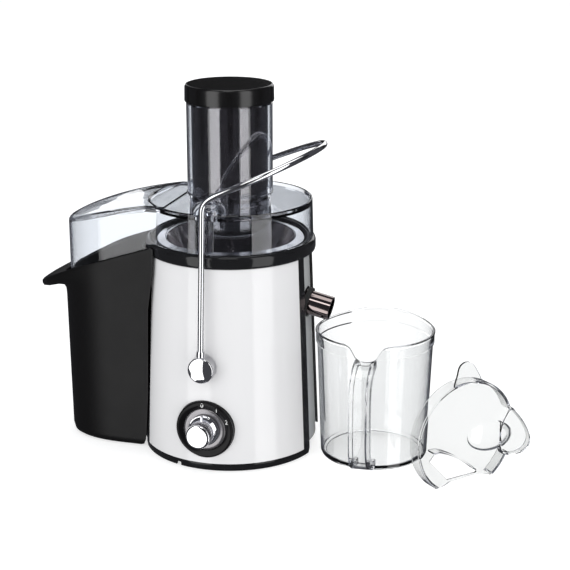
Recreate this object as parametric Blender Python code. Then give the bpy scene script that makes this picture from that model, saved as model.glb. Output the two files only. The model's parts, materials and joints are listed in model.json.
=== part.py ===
"""Centrifugal juicer with its jug, as the separate pieces it is put together from.

Units are metres and +Z is up. The pulp container is at -X, the spout and the jug at +X, and the knob at -Y.
Every piece is drawn about the motor's drive axis and hangs from the empty "drive_axis". That empty stands at
DRIVE_X, DRIVE_Y, which puts the origin on the table under the middle of the whole set.
"""

import bmesh
import bpy
from math import atan2, cos, pi, radians, sin, sqrt
from mathutils import Matrix, Vector

# Where the drive axis stands.
DRIVE_X = -0.0524
DRIVE_Y = 0.0052

GAP = 0.0003
LARGE_STEPS = 40
MEDIUM_STEPS = 24
SMALL_STEPS = 12

# The base: a round shell that narrows towards the top, in four pieces round the axis.
BODY_BOTTOM_R = 0.0900
BODY_BOTTOM_Z = 0.0074
BODY_TOP_R = 0.0823
BODY_TOP_Z = 0.2035
SKIN = 0.0022
PANEL_START = -142
PANEL_END = -20
FRAME_START = -148
FRAME_END = -13
REAR_START = 26.5
REAR_END = 211.7
TRIM_BOTTOM = 0.0008
TRIM_TOP = 0.0080
SIDE_RECESS = 0.0045
SIDE_FLAT_X = 0.0750
REAR_BOTTOM = 0.0100
RING_R = 0.0846
RING_INNER_R = 0.0792
RING_BOTTOM = 0.2038
RING_TOP = 0.2168

# The knob and its dial.
KNOB_Z = 0.0433
BEZEL_R = 0.0290
BEZEL_FACE = -0.0912
BEZEL_BACK = -0.0820
DIAL_R = 0.0210
KNOB_R = 0.0128
KNOB_SKIRT_R = 0.0155
KNOB_FACE = -0.1120

# The locking arm: one bent rod with a pivot at the front and one at the back.
PIVOT_Z = 0.1070
PIVOT_CAP_R = 0.0128
PIVOT_CAP_BACK = 0.0872
PIVOT_CAP_FACE = 0.1015
PIVOT_PIN_R = 0.0050
PIVOT_HOLE_R = 0.0070
ARM_ROD_R = 0.0029
ARM_LEG_BOTTOM_Y = 0.0975
ARM_BEND_Y = 0.0860
ARM_BEND_Z = 0.2705
ARM_REACH = 0.0930
ARM_RISE = 0.0400

# The bowl, its spout and the basket in it.
BOWL_R = 0.0740
BOWL_FLOOR = 0.1380
BOWL_COLLAR_R = 0.0788
WALL = 0.0018
SPOUT_R = 0.0120
SPOUT_BORE_R = 0.0100
SPOUT_ROOT = (0.0660, 0, 0.1570)
SPOUT_SLOPE = 13
SPOUT_LENGTH = 0.0385
BASKET_TOP = 0.2160
BASKET_RIM_R = 0.0740
BASKET_MOUTH_R = 0.0648
BASKET_FLOOR_R = 0.0440
BASKET_FLOOR = 0.1800

# The lid.
LID_R = 0.0822
LID_BOTTOM = 0.2172
LID_TOP = 0.2522
LID_RIM_TOP = 0.2558
LID_WALL = 0.0022
TUBE_R = 0.0420
TUBE_BORE_R = 0.0398
TUBE_TOP = 0.3500
THROAT_R = 0.0402
THROAT_BORE_R = 0.0383
THROAT_BOTTOM = 0.1925
HOOD_END = -0.1665
HOOD_HALF_WIDTH = 0.0590
HOOD_CLEARANCE_R = 0.0893
HOOD_SKIRT_DEPTH = 0.0040
BOSS_R = 0.0165
BOSS_Y = 0.0671
BOSS_TOP = 0.2670
BOSS_BOTTOM = 0.2180

# The pusher.
PUSHER_R = 0.0373
PUSHER_BOTTOM = 0.2030
PUSHER_CAP_R = 0.0436
PUSHER_CAP_BOTTOM = 0.3510
PUSHER_CAP_TOP = 0.3680

# The pulp container.
CONTAINER_END = -0.1720
CONTAINER_TOP_HALF_WIDTH = 0.0625
CONTAINER_BASE_HALF_WIDTH = 0.0500
CONTAINER_WALL = 0.0022
CONTAINER_RIM_Z = 0.2100
CONTAINER_RIM_X = -0.0740
CONTAINER_RIM_SLOPE = 0.325
CONTAINER_LIP_OUT = 0.0290
CONTAINER_LIP_DROP = 0.0190

# The jug.
JUG_X = 0.1475
JUG_Y = 0.0050
JUG_HEIGHT = 0.1300
JUG_RIM_R = 0.0586
JUG_BASE_R = 0.0530
JUG_WALL = 0.0022
JUG_HANDLE_POLAR = -86.5
JUG_HANDLE_OUT = 0.0360
JUG_HANDLE_HALF_WIDTH = 0.0105
JUG_DIP_DEPTH = 0.0160
JUG_LIP_START = 0.0950
JUG_LIP_OUT = 0.0045
JUG_LIP_UP = 0.0030

# The jug's lid, which stands upright on its cut edge beside the jug.
JUG_LID_R = 0.0570
JUG_LID_DEPTH = 0.0140
JUG_LID_WALL = 0.0020
JUG_LID_X = 0.2499
JUG_LID_Y = -0.0456
JUG_LID_POLAR = -42.7
JUG_LID_CUT = -0.0448
JUG_LID_HOOD_REACH = 0.0760

for old in list(bpy.data.objects):
    bpy.data.objects.remove(old)

drive_axis = bpy.data.objects.new("drive_axis", None)
drive_axis.location = (DRIVE_X, DRIVE_Y, 0)
bpy.context.scene.collection.objects.link(drive_axis)


def material(name, colour, roughness, metallic=0.0, transmission=0.0):
    """A plain finish, made once for each name."""
    made = bpy.data.materials.get(name)
    if made is None:
        made = bpy.data.materials.new(name)
        made.use_nodes = True
        shader = made.node_tree.nodes["Principled BSDF"]
        shader.inputs["Base Color"].default_value = (*colour, 1)
        shader.inputs["Roughness"].default_value = roughness
        shader.inputs["Metallic"].default_value = metallic
        shader.inputs["Transmission Weight"].default_value = transmission
    return made


def white_gloss():
    return material("white_gloss", (0.82, 0.82, 0.83), 0.2)


def black_gloss():
    return material("black_gloss", (0.012, 0.012, 0.013), 0.15)


def black_satin():
    return material("black_satin", (0.02, 0.02, 0.021), 0.5)


def silver_plastic():
    return material("silver_plastic", (0.45, 0.46, 0.48), 0.3, 0.6)


def bright_steel():
    return material("bright_steel", (0.75, 0.75, 0.76), 0.15, 1.0)


def chrome_plate():
    return material("chrome_plate", (0.85, 0.85, 0.86), 0.06, 1.0)


def smoked_chrome():
    return material("smoked_chrome", (0.23, 0.19, 0.18), 0.12, 1.0)


def clear_plastic():
    return material("clear_plastic", (0.93, 0.96, 0.98), 0.03, 0.0, 1.0)


def dark_iron():
    return material("dark_iron", (0.16, 0.16, 0.17), 0.5, 0.9)


def copper_wire():
    return material("copper_wire", (0.55, 0.2, 0.08), 0.4, 0.9)


def soft_rubber():
    return material("soft_rubber", (0.03, 0.03, 0.03), 0.8)


def finish(name, mesh_data, surface, pivot=(0, 0, 0), helper=False):
    """Turns a bmesh into a named object whose origin is the pivot, hung from the drive axis."""
    bmesh.ops.recalc_face_normals(mesh_data, faces=mesh_data.faces)
    bmesh.ops.translate(mesh_data, verts=mesh_data.verts, vec=-Vector(pivot))
    mesh = bpy.data.meshes.new(name)
    mesh_data.to_mesh(mesh)
    mesh_data.free()
    mesh.materials.append(surface)
    mesh.shade_smooth()
    mesh.set_sharp_from_angle(angle=radians(32))
    made = bpy.data.objects.new(name, mesh)
    made.location = pivot
    made.parent = drive_axis
    bpy.context.scene.collection.objects.link(made)
    if helper:
        made.hide_render = True
        made.display_type = "WIRE"
    return made


def turned(profile, steps, frame=Matrix.Identity(4)):
    """A closed outline of (radius, height) points turned round the frame's Z axis."""
    shape = bmesh.new()
    points = [shape.verts.new((radius, 0, height)) for radius, height in profile]
    edges = [shape.edges.new(pair) for pair in zip(points, points[1:] + points[:1])]
    bmesh.ops.spin(shape, geom=points + edges, axis=(0, 0, 1), angle=2 * pi, steps=steps)
    bmesh.ops.remove_doubles(shape, verts=shape.verts, dist=1e-6)
    axis_edges = [edge for edge in shape.edges if not edge.link_faces]
    bmesh.ops.delete(shape, geom=axis_edges, context="EDGES")
    bmesh.ops.transform(shape, matrix=frame, verts=shape.verts)
    return shape


def disc(radius, low, high, steps, frame=Matrix.Identity(4)):
    """A plain cylinder between two heights."""
    return turned([(0, low), (radius, low), (radius, high), (0, high)], steps, frame)


def washer(inner, outer, low, high, steps, frame=Matrix.Identity(4)):
    """A ring of rectangular section."""
    return turned([(inner, low), (outer, low), (outer, high), (inner, high)], steps, frame)


def lofted(rings, mirrored=False):
    """A closed skin through rings of equally many points, with both ends capped.

    A mirrored ring's caps are strips.
    """
    shape = bmesh.new()
    rows = [[shape.verts.new(point) for point in ring] for ring in rings]
    count = len(rows[0])
    for low, high in zip(rows, rows[1:]):
        for index in range(count):
            after = (index + 1) % count
            shape.faces.new((low[index], low[after], high[after], high[index]))
    for row in (rows[0], rows[-1]):
        if mirrored:
            for index in range((count - 1) // 2):
                strip = [row[index], row[index + 1], row[-index - 2], row[-index - 1]]
                shape.faces.new(dict.fromkeys(strip))
        else:
            shape.faces.new(row)
    return shape


def block(low, high):
    """A box between two corners."""
    corners = [(low[0], low[1]), (high[0], low[1]), (high[0], high[1]), (low[0], high[1])]
    return lofted([[(x, y, z) for x, y in corners] for z in (low[2], high[2])])


def swept(sections):
    """Sections of (radius, height) points, each at its own polar angle in degrees, joined into one solid."""
    rings = []
    for polar, section in sections:
        turn = radians(polar)
        rings.append([(radius * cos(turn), radius * sin(turn), height) for radius, height in section])
    return lofted(rings)


def along_y(y, z):
    """A frame whose Z axis points along +Y, at the given distance and height."""
    return Matrix.Translation((0, y, z)) @ Matrix.Rotation(radians(-90), 4, "X")


def combine(target, tool, operation):
    """Adds an exact boolean with a hidden helper."""
    modifier = target.modifiers.new(operation.lower(), "BOOLEAN")
    modifier.operation = operation
    modifier.solver = "EXACT"
    modifier.object = tool


def cut(target, name, shape):
    """Cuts a shape out of a piece."""
    combine(target, finish(name, shape, black_satin(), helper=True), "DIFFERENCE")


def join(target, name, shape):
    """Grows a piece by a shape that overlaps it."""
    combine(target, finish(name, shape, black_satin(), helper=True), "UNION")


def body_radius(height):
    """Outer radius of the base at a height."""
    share = (height - BODY_BOTTOM_Z) / (BODY_TOP_Z - BODY_BOTTOM_Z)
    return BODY_BOTTOM_R + (BODY_TOP_R - BODY_BOTTOM_R) * share


def polar_points(start, end, count):
    """Evenly spaced angles in degrees, both ends included."""
    return [start + (end - start) * index / (count - 1) for index in range(count)]


# Casing -------------------------------------------------------------------------------------------


def shell_section(low, high, outside, thickness):
    """Section of a thin shell that follows the base, set in from its surface."""
    return [
        (body_radius(low) - outside - thickness, low),
        (body_radius(low) - outside, low),
        (body_radius(high) - outside, high),
        (body_radius(high) - outside - thickness, high),
    ]


def frame_section(lip):
    """Section of the front frame: a trim foot below, and a wall that stands forward in the edge strips."""
    low = TRIM_TOP + GAP
    high = BODY_TOP_Z
    step = 0 if lip else SKIN + GAP
    inner = 2 * SKIN + GAP
    return [
        (body_radius(TRIM_BOTTOM) - inner, TRIM_BOTTOM),
        (body_radius(TRIM_BOTTOM) - 0.0012, TRIM_BOTTOM),
        (body_radius(TRIM_TOP), TRIM_TOP - 0.0012),
        (body_radius(low) - step, TRIM_TOP),
        (body_radius(high) - step, high),
        (body_radius(high) - inner, high),
    ]


panel_sections = [
    (polar, shell_section(TRIM_TOP + GAP, BODY_TOP_Z, 0, SKIN))
    for polar in polar_points(PANEL_START, PANEL_END, 21)
]
front_panel = finish("front_panel", swept(panel_sections), white_gloss())

LIP_CLEARANCE = 0.25
lip_angles = [FRAME_START, PANEL_START - LIP_CLEARANCE]
frame_angles = polar_points(PANEL_START - LIP_CLEARANCE / 2, PANEL_END + LIP_CLEARANCE / 2, 21)
frame_sections = [(polar, frame_section(True)) for polar in lip_angles]
frame_sections += [(polar, frame_section(False)) for polar in frame_angles]
frame_sections += [(polar, frame_section(True)) for polar in (PANEL_END + LIP_CLEARANCE, FRAME_END)]
front_frame = finish("front_frame", swept(frame_sections), black_gloss())

for target in (front_panel, front_frame):
    pivot_hole = disc(PIVOT_HOLE_R, -0.1, -0.07, SMALL_STEPS, along_y(0, PIVOT_Z))
    cut(target, f"{target.name}_pivot_hole", pivot_hole)
    dial_hole = disc(BEZEL_R + GAP, -0.1, -0.07, MEDIUM_STEPS, along_y(0, KNOB_Z))
    cut(target, f"{target.name}_dial_hole", dial_hole)

finish(
    "top_ring",
    turned(
        [
            (RING_INNER_R, RING_BOTTOM),
            (RING_R - 0.0016, RING_BOTTOM),
            (RING_R, RING_BOTTOM + 0.003),
            (RING_R - 0.0004, RING_TOP - 0.002),
            (RING_R - 0.0022, RING_TOP),
            (RING_INNER_R, RING_TOP),
        ],
        LARGE_STEPS,
    ),
    black_gloss(),
)

side_sections = [
    (polar, shell_section(REAR_BOTTOM, BODY_TOP_Z, SIDE_RECESS, SKIN))
    for polar in polar_points(FRAME_END + 0.3, REAR_START - 0.3, 8)
]
side_cover = finish("side_cover", swept(side_sections), silver_plastic())

rear_sections = [
    (polar, shell_section(REAR_BOTTOM, BODY_TOP_Z, 0, SKIN))
    for polar in polar_points(REAR_START, REAR_END, 32)
]
rear_cover = finish("rear_cover", swept(rear_sections), black_satin())
cut(rear_cover, "rear_pivot_hole", disc(PIVOT_HOLE_R, 0.07, 0.1, SMALL_STEPS, along_y(0, PIVOT_Z)))
CORD_HOLE_Z = 0.0320
CORD_HOLE_R = 0.0070
cut(rear_cover, "cord_hole", disc(CORD_HOLE_R, 0.07, 0.1, SMALL_STEPS, along_y(0, CORD_HOLE_Z)))
for row in range(5):
    low = 0.050 + 0.006 * row
    cut(rear_cover, f"vent_{row}", block((-0.020, 0.08, low), (0.020, 0.1, low + 0.003)))

PLATE_R = 0.0815
PLATE_LOW = 0.0120
PLATE_HIGH = 0.0150
FOOT_REACH = 0.0640
SCREW_REACH = 0.0720
SCREW_HOLE_R = 0.0022
base_plate = finish("base_plate", disc(PLATE_R, PLATE_LOW, PLATE_HIGH, LARGE_STEPS), black_satin())
cut(base_plate, "base_plate_flat", block((SIDE_FLAT_X, -0.09, 0), (0.1, 0.09, 0.03)))
for number in range(4):
    turn = radians(45 + 90 * number)
    place = Matrix.Translation((FOOT_REACH * cos(turn), FOOT_REACH * sin(turn), 0))
    outline = [(0, 0), (0.0085, 0), (0.0095, 0.0015), (0.0095, PLATE_LOW - GAP), (0, PLATE_LOW - GAP)]
    finish(f"foot_{number + 1}", turned(outline, SMALL_STEPS, place), soft_rubber())
for number in range(3):
    turn = radians(90 + 120 * number)
    place = Matrix.Translation((SCREW_REACH * cos(turn), SCREW_REACH * sin(turn), 0))
    cut(base_plate, f"screw_hole_{number}", disc(SCREW_HOLE_R, 0, 0.03, SMALL_STEPS, place))
    head = PLATE_LOW - GAP
    outline = [(0, head - 0.0022), (0.0034, head - 0.0016), (0.0036, head)]
    outline += [(0.0016, head), (0.0016, 0.021), (0, 0.0226)]
    finish(f"base_screw_{number + 1}", turned(outline, SMALL_STEPS, place), dark_iron())

DECK_LOW = 0.1260
DECK_HIGH = 0.1290
SEAL_R = 0.0120
deck = finish(
    "deck",
    turned(
        [
            (SEAL_R, DECK_LOW),
            (0.0780, DECK_LOW),
            (0.0780, DECK_HIGH),
            (0.0640, DECK_HIGH),
            (0.0640, BOWL_FLOOR - GAP),
            (0.0600, BOWL_FLOOR - GAP),
            (0.0600, DECK_HIGH),
            (SEAL_R, DECK_HIGH),
        ],
        LARGE_STEPS,
    ),
    black_satin(),
)
cut(deck, "deck_flat", block((SIDE_FLAT_X, -0.09, 0.1), (0.1, 0.09, 0.15)))

finish(
    "cord_gland",
    turned(
        [(0.0040, -0.0790), (CORD_HOLE_R - GAP, -0.0790), (CORD_HOLE_R - GAP, -0.0900), (0.0100, -0.0900)]
        + [(0.0092, -0.0935), (0.0055, -0.0950), (0.0040, -0.0950)],
        SMALL_STEPS,
        Matrix.Translation((0, 0, CORD_HOLE_Z)) @ Matrix.Rotation(radians(90), 4, "X"),
    ),
    soft_rubber(),
)

# Motor --------------------------------------------------------------------------------------------

SHAFT_R = 0.0040
BEARING_R = 0.0110
STACK_LOW = 0.0480
STACK_HIGH = 0.0880
STATOR_R = 0.0360
STATOR_BORE_R = 0.0202
ARMATURE_R = 0.0192
UPPER_BRACKET_LOW = 0.1100
UPPER_BRACKET_HIGH = 0.1135
LOWER_BRACKET_LOW = 0.0310
LOWER_BRACKET_HIGH = 0.0345
TIE_REACH = 0.0430

finish("stator_core", washer(STATOR_BORE_R, STATOR_R, STACK_LOW, STACK_HIGH, SMALL_STEPS), dark_iron())
WINDING_DEPTH = 0.0100
for name, low in (("upper_winding", STACK_HIGH + GAP), ("lower_winding", STACK_LOW - GAP - WINDING_DEPTH)):
    high = low + WINDING_DEPTH
    outline = [(0.0225, low), (0.0320, low), (0.0335, (low + high) / 2), (0.0310, high), (0.0235, high)]
    finish(name, turned(outline, SMALL_STEPS), copper_wire())

finish("motor_shaft", disc(SHAFT_R, 0.0175, 0.1660, SMALL_STEPS), bright_steel())
finish("armature", washer(SHAFT_R + GAP, ARMATURE_R, 0.0440, 0.0910, SMALL_STEPS), dark_iron())
finish("commutator", washer(SHAFT_R + GAP, 0.0100, 0.0930, 0.1040, SMALL_STEPS), copper_wire())
for name, side in (("brush_left", -1), ("brush_right", 1)):
    xs = sorted((side * 0.0104, side * 0.0220))
    finish(name, block((xs[0], -0.0030, 0.0985), (xs[1], 0.0030, 0.1035)), dark_iron())

BLADES = 9
fan_outline = []
for blade in range(BLADES):
    for radius, offset in ((0.0110, -13), (0.0300, -4), (0.0300, 4), (0.0110, 13)):
        turn = 2 * pi * blade / BLADES + radians(offset)
        fan_outline.append((radius * cos(turn), radius * sin(turn)))
fan = finish("fan", lofted([[(x, y, z) for x, y in fan_outline] for z in (0.0190, 0.0285)]), black_satin())
cut(fan, "fan_bore", disc(SHAFT_R + GAP, 0.01, 0.04, SMALL_STEPS))

bearing_levels = (("upper_bearing", 0.1080, 0.1150), ("lower_bearing", 0.0300, 0.0360))
for name, low, high in bearing_levels:
    finish(name, washer(SHAFT_R + GAP, BEARING_R, low, high, SMALL_STEPS), bright_steel())
bracket_levels = (
    ("upper_bracket", UPPER_BRACKET_LOW, UPPER_BRACKET_HIGH),
    ("lower_bracket", LOWER_BRACKET_LOW, LOWER_BRACKET_HIGH),
)
for name, low, high in bracket_levels:
    finish(name, washer(BEARING_R + GAP, 0.0500, low, high, MEDIUM_STEPS), dark_iron())
for name, side in (("tie_bolt_left", -1), ("tie_bolt_right", 1)):
    place = Matrix.Translation((side * TIE_REACH, 0, 0))
    low = LOWER_BRACKET_HIGH + GAP
    finish(name, disc(0.0025, low, UPPER_BRACKET_LOW - GAP, SMALL_STEPS, place), bright_steel())
for number in range(3):
    turn = radians(30 + 120 * number)
    place = Matrix.Translation((TIE_REACH * cos(turn), TIE_REACH * sin(turn), 0))
    low = UPPER_BRACKET_HIGH + GAP
    high = DECK_LOW - GAP
    outline = [(0, low), (0.0065, low), (0.0055, (low + high) / 2), (0.0065, high), (0, high)]
    finish(f"damper_{number + 1}", turned(outline, SMALL_STEPS, place), soft_rubber())
shaft_seal_ring = washer(SHAFT_R + GAP, SEAL_R - GAP, DECK_LOW, DECK_HIGH + 0.002, SMALL_STEPS)
finish("shaft_seal", shaft_seal_ring, soft_rubber())

HUB_R = 0.0126
finish(
    "drive_coupling",
    turned(
        [
            (0, 0.1683),
            (SHAFT_R + GAP, 0.1683),
            (SHAFT_R + GAP, 0.1400),
            (0.0100, 0.1400),
            (0.0110, 0.1740),
            (0.0220, 0.1755),
            (0.0220, BASKET_FLOOR - GAP),
            (HUB_R, BASKET_FLOOR - GAP),
            (HUB_R, 0.1860),
            (0, 0.1860),
        ],
        MEDIUM_STEPS,
    ),
    black_satin(),
)

# Bowl, basket and spout ---------------------------------------------------------------------------

juice_bowl = finish(
    "juice_bowl",
    turned(
        [
            (0.0160, BOWL_FLOOR),
            (BOWL_R - 0.005, BOWL_FLOOR),
            (BOWL_R, BOWL_FLOOR + 0.005),
            (BOWL_R, 0.2036),
            (BOWL_COLLAR_R, 0.2064),
            (BOWL_COLLAR_R, RING_TOP),
            (BOWL_COLLAR_R - WALL, RING_TOP),
            (BOWL_COLLAR_R - WALL, 0.2078),
            (BOWL_R - WALL, 0.2050),
            (BOWL_R - WALL, BOWL_FLOOR + 0.006),
            (BOWL_R - 0.006, BOWL_FLOOR + 0.0022),
            (0.0185, BOWL_FLOOR + 0.0022),
            (0.0175, 0.1700),
            (0.0160, 0.1700),
        ],
        LARGE_STEPS,
    ),
    black_satin(),
)

spout_frame = Matrix.Translation(SPOUT_ROOT) @ Matrix.Rotation(radians(90 + SPOUT_SLOPE), 4, "Y")
spout_hole = disc(SPOUT_R + GAP, -0.002, 0.03, MEDIUM_STEPS, spout_frame)
cut(juice_bowl, "bowl_spout_hole", spout_hole)
SPOUT_SEAL_R = SPOUT_R + 0.0026
SPOUT_SEAL_START = 0.0123
SPOUT_SEAL_END = 0.0165
cut(side_cover, "side_spout_hole", disc(SPOUT_SEAL_R + GAP, -0.002, 0.03, MEDIUM_STEPS, spout_frame))
finish(
    "spout_seal",
    washer(SPOUT_R + GAP, SPOUT_SEAL_R, SPOUT_SEAL_START, SPOUT_SEAL_END, MEDIUM_STEPS, spout_frame),
    soft_rubber(),
)
juice_spout = finish(
    "juice_spout",
    washer(SPOUT_BORE_R, SPOUT_R, 0.0035, SPOUT_LENGTH, MEDIUM_STEPS, spout_frame),
    smoked_chrome(),
)
slant = Matrix.Translation((0.1040, 0, 0.1400)) @ Matrix.Rotation(radians(9), 4, "Y")
slant_cutter = block((0, -0.03, -0.05), (0.03, 0.03, 0.05))
bmesh.ops.transform(slant_cutter, matrix=slant, verts=slant_cutter.verts)
cut(juice_spout, "spout_slant", slant_cutter)

finish(
    "filter_basket",
    turned(
        [
            (HUB_R + GAP, BASKET_FLOOR),
            (BASKET_FLOOR_R + 0.001, BASKET_FLOOR),
            (BASKET_MOUTH_R + 0.0012, BASKET_TOP - 0.0025),
            (BASKET_RIM_R, BASKET_TOP - 0.0030),
            (BASKET_RIM_R, BASKET_TOP - 0.0010),
            (BASKET_MOUTH_R, BASKET_TOP),
            (BASKET_FLOOR_R, BASKET_FLOOR + 0.0015),
            (HUB_R + GAP, BASKET_FLOOR + 0.0015),
        ],
        LARGE_STEPS,
    ),
    bright_steel(),
)
DISC_LOW = BASKET_FLOOR + 0.0018
finish(
    "grater_disc",
    washer(HUB_R + GAP, BASKET_FLOOR_R - 0.0015, DISC_LOW, DISC_LOW + 0.0015, MEDIUM_STEPS),
    bright_steel(),
)
finish(
    "basket_nut",
    turned([(0, 0.1863), (0.0160, 0.1863), (0.0150, 0.1880), (0.0080, 0.1895), (0, 0.1898)], MEDIUM_STEPS),
    bright_steel(),
)

# Lid ----------------------------------------------------------------------------------------------


def tongue(end_x, half_width, start_x, count=21, roundness=2.4):
    """Outline of a tongue from start_x to a rounded end at end_x, counter-clockwise from its near side."""
    corner_x = end_x + 0.068
    outline = [(start_x, half_width)]
    for index in range(count):
        turn = pi / 2 + pi * index / (count - 1)
        across = abs(sin(turn)) ** (2 / roundness)
        along = abs(cos(turn)) ** (2 / roundness)
        side = 1 if index < count / 2 else -1
        outline.append((corner_x + (end_x - corner_x) * along, half_width * across * side))
    outline.append((start_x, -half_width))
    return outline


def hood_top(x):
    """Height of the hood's top, which falls away towards its end."""
    run = max(0, -0.069 - x)
    return 0.2546 - 0.16 * run - 0.9 * run * run


def container_rim(x):
    """Height of the pulp container's rim, which falls away towards its end."""
    return CONTAINER_RIM_Z + CONTAINER_RIM_SLOPE * min(x - CONTAINER_RIM_X, 0.012)


def hood_solid(inset, roof):
    """The hood as one solid, set in by a wall thickness and lowered by a roof thickness."""
    inner = tongue(HOOD_END + inset, HOOD_HALF_WIDTH - inset, -0.050)
    shoulder = 0.0045
    top = tongue(HOOD_END + inset + shoulder, HOOD_HALF_WIDTH - inset - shoulder * 0.6, -0.050)
    drop = HOOD_SKIRT_DEPTH + roof * 2
    rings = [
        [(x, y, container_rim(x) - drop) for x, y in inner],
        [(x, y, hood_top(x) - roof - shoulder) for x, y in inner],
        [(x, y, hood_top(x) - roof) for x, y in top],
    ]
    return lofted(rings, mirrored=True)


lid = finish(
    "lid",
    turned(
        [
            (0, LID_BOTTOM),
            (LID_R, LID_BOTTOM),
            (LID_R - 0.0012, LID_RIM_TOP - 0.0010),
            (LID_R - 0.0020, LID_RIM_TOP),
            (LID_R - 0.0034, LID_TOP),
            (0, LID_TOP),
        ],
        LARGE_STEPS,
    ),
    clear_plastic(),
)
for name, side in (("front_boss", -1), ("rear_boss", 1)):
    outline = [(0, BOSS_BOTTOM), (BOSS_R, BOSS_BOTTOM)]
    outline += [
        (BOSS_R * cos(radians(turn)), BOSS_TOP - 0.011 + 0.011 * sin(radians(turn)))
        for turn in (0, 22, 45, 67, 90)
    ]
    join(lid, name, turned(outline, MEDIUM_STEPS, Matrix.Translation((0, side * BOSS_Y, 0))))
join(lid, "hood_outside", hood_solid(0, 0))
cut(lid, "lid_inside", disc(LID_R - LID_WALL, 0.2, LID_TOP - LID_WALL, LARGE_STEPS))
for name, side in (("front_boss_inside", -1), ("rear_boss_inside", 1)):
    place = Matrix.Translation((0, side * (BOSS_Y - 0.001), 0))
    cut(lid, name, disc(BOSS_R - LID_WALL, 0.195, BOSS_TOP - 0.007, MEDIUM_STEPS, place))
cut(lid, "hood_inside", hood_solid(LID_WALL, LID_WALL))
cut(lid, "ring_clearance", disc(HOOD_CLEARANCE_R, 0.18, LID_BOTTOM, LARGE_STEPS))
join(
    lid,
    "feed_tube",
    turned(
        [
            (0, THROAT_BOTTOM),
            (THROAT_R, THROAT_BOTTOM),
            (THROAT_R, LID_TOP),
            (TUBE_R, LID_TOP + 0.009),
            (TUBE_R, TUBE_TOP),
            (0, TUBE_TOP),
        ],
        MEDIUM_STEPS,
    ),
)
cut(
    lid,
    "feed_bore",
    turned(
        [
            (0, 0.15),
            (THROAT_BORE_R, 0.15),
            (THROAT_BORE_R, LID_TOP),
            (TUBE_BORE_R, LID_TOP + 0.009),
            (TUBE_BORE_R, 0.38),
            (0, 0.38),
        ],
        MEDIUM_STEPS,
    ),
)

# Pusher -------------------------------------------------------------------------------------------

PUSHER_FLOOR = PUSHER_BOTTOM + 0.0022
finish(
    "pusher",
    turned(
        [
            (0, PUSHER_BOTTOM),
            (PUSHER_R - 0.003, PUSHER_BOTTOM),
            (PUSHER_R, PUSHER_BOTTOM + 0.003),
            (PUSHER_R, PUSHER_CAP_BOTTOM - GAP),
            (PUSHER_R - 0.0022, PUSHER_CAP_BOTTOM - GAP),
            (PUSHER_R - 0.0022, PUSHER_FLOOR),
            (0, PUSHER_FLOOR),
        ],
        MEDIUM_STEPS,
    ),
    black_gloss(),
)
finish(
    "pusher_cap",
    turned(
        [
            (0, PUSHER_CAP_BOTTOM),
            (PUSHER_CAP_R - 0.001, PUSHER_CAP_BOTTOM),
            (PUSHER_CAP_R, PUSHER_CAP_BOTTOM + 0.001),
            (PUSHER_CAP_R - 0.0008, PUSHER_CAP_TOP - 0.002),
            (PUSHER_CAP_R - 0.0028, PUSHER_CAP_TOP),
            (0, PUSHER_CAP_TOP),
        ],
        MEDIUM_STEPS,
    ),
    black_satin(),
)

# Pulp container -----------------------------------------------------------------------------------


def container_ring(height_of, half_width, inset, hug_r):
    """A level of the container: a tongue whose open end wraps round the base."""
    width = half_width - inset
    reach = hug_r + 0.0016 + inset
    corner = atan2(width, -sqrt(reach**2 - width**2))
    outline = []
    for x, y in tongue(CONTAINER_END + inset, width, 0)[1:-1]:
        outline.append((x, y))
    for index in range(13):
        turn = -corner - (2 * pi - 2 * corner) * index / 12
        outline.append((reach * cos(turn), reach * sin(turn)))
    return [(x, y, height_of(x)) for x, y in outline]


def half_width_at(share):
    return CONTAINER_BASE_HALF_WIDTH + (CONTAINER_TOP_HALF_WIDTH - CONTAINER_BASE_HALF_WIDTH) * share


def level(height):
    return lambda x: height


def lipped(ring, out, drop):
    """The rim pushed outward and down at the container's far end, which makes its grip."""
    moved = []
    for x, y, z in ring:
        share = max(0, (-0.130 - x) / (-0.130 - CONTAINER_END)) ** 2
        moved.append((x - out * share, y, z - drop * share))
    return moved


base_r = body_radius(0)
top_r = RING_R
SHOULDER_SHARE = 0.94
SHOULDER_DROP = 0.010
outer_rim = container_ring(container_rim, CONTAINER_TOP_HALF_WIDTH, 0, top_r)
near_rim = container_ring(lambda x: container_rim(x) - 0.004, half_width_at(0.98), 0, top_r)
inner_rim = container_ring(container_rim, CONTAINER_TOP_HALF_WIDTH, CONTAINER_WALL, top_r)
shoulder_half_width = half_width_at(SHOULDER_SHARE)
container_rings = [
    container_ring(level(0.0006), half_width_at(0), 0.006, base_r),
    container_ring(level(0.0030), half_width_at(0), 0.0015, base_r),
    container_ring(level(0.0090), half_width_at(0.04), 0, base_r),
    container_ring(level(0.1000), half_width_at(0.5), 0, body_radius(0.06)),
    container_ring(lambda x: container_rim(x) - SHOULDER_DROP, shoulder_half_width, 0, top_r),
    lipped(near_rim, CONTAINER_LIP_OUT, CONTAINER_LIP_DROP),
    lipped(outer_rim, CONTAINER_LIP_OUT, CONTAINER_LIP_DROP - 0.002),
    inner_rim,
    container_ring(lambda x: container_rim(x) - SHOULDER_DROP, shoulder_half_width, CONTAINER_WALL, top_r),
    container_ring(level(0.1000), half_width_at(0.5), CONTAINER_WALL, body_radius(0.06)),
    container_ring(level(0.0100), half_width_at(0.04), CONTAINER_WALL, base_r),
    container_ring(level(0.0040), half_width_at(0), 0.006, base_r),
]
finish("pulp_container", lofted(container_rings), black_satin())

# Knob and dial ------------------------------------------------------------------------------------

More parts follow.
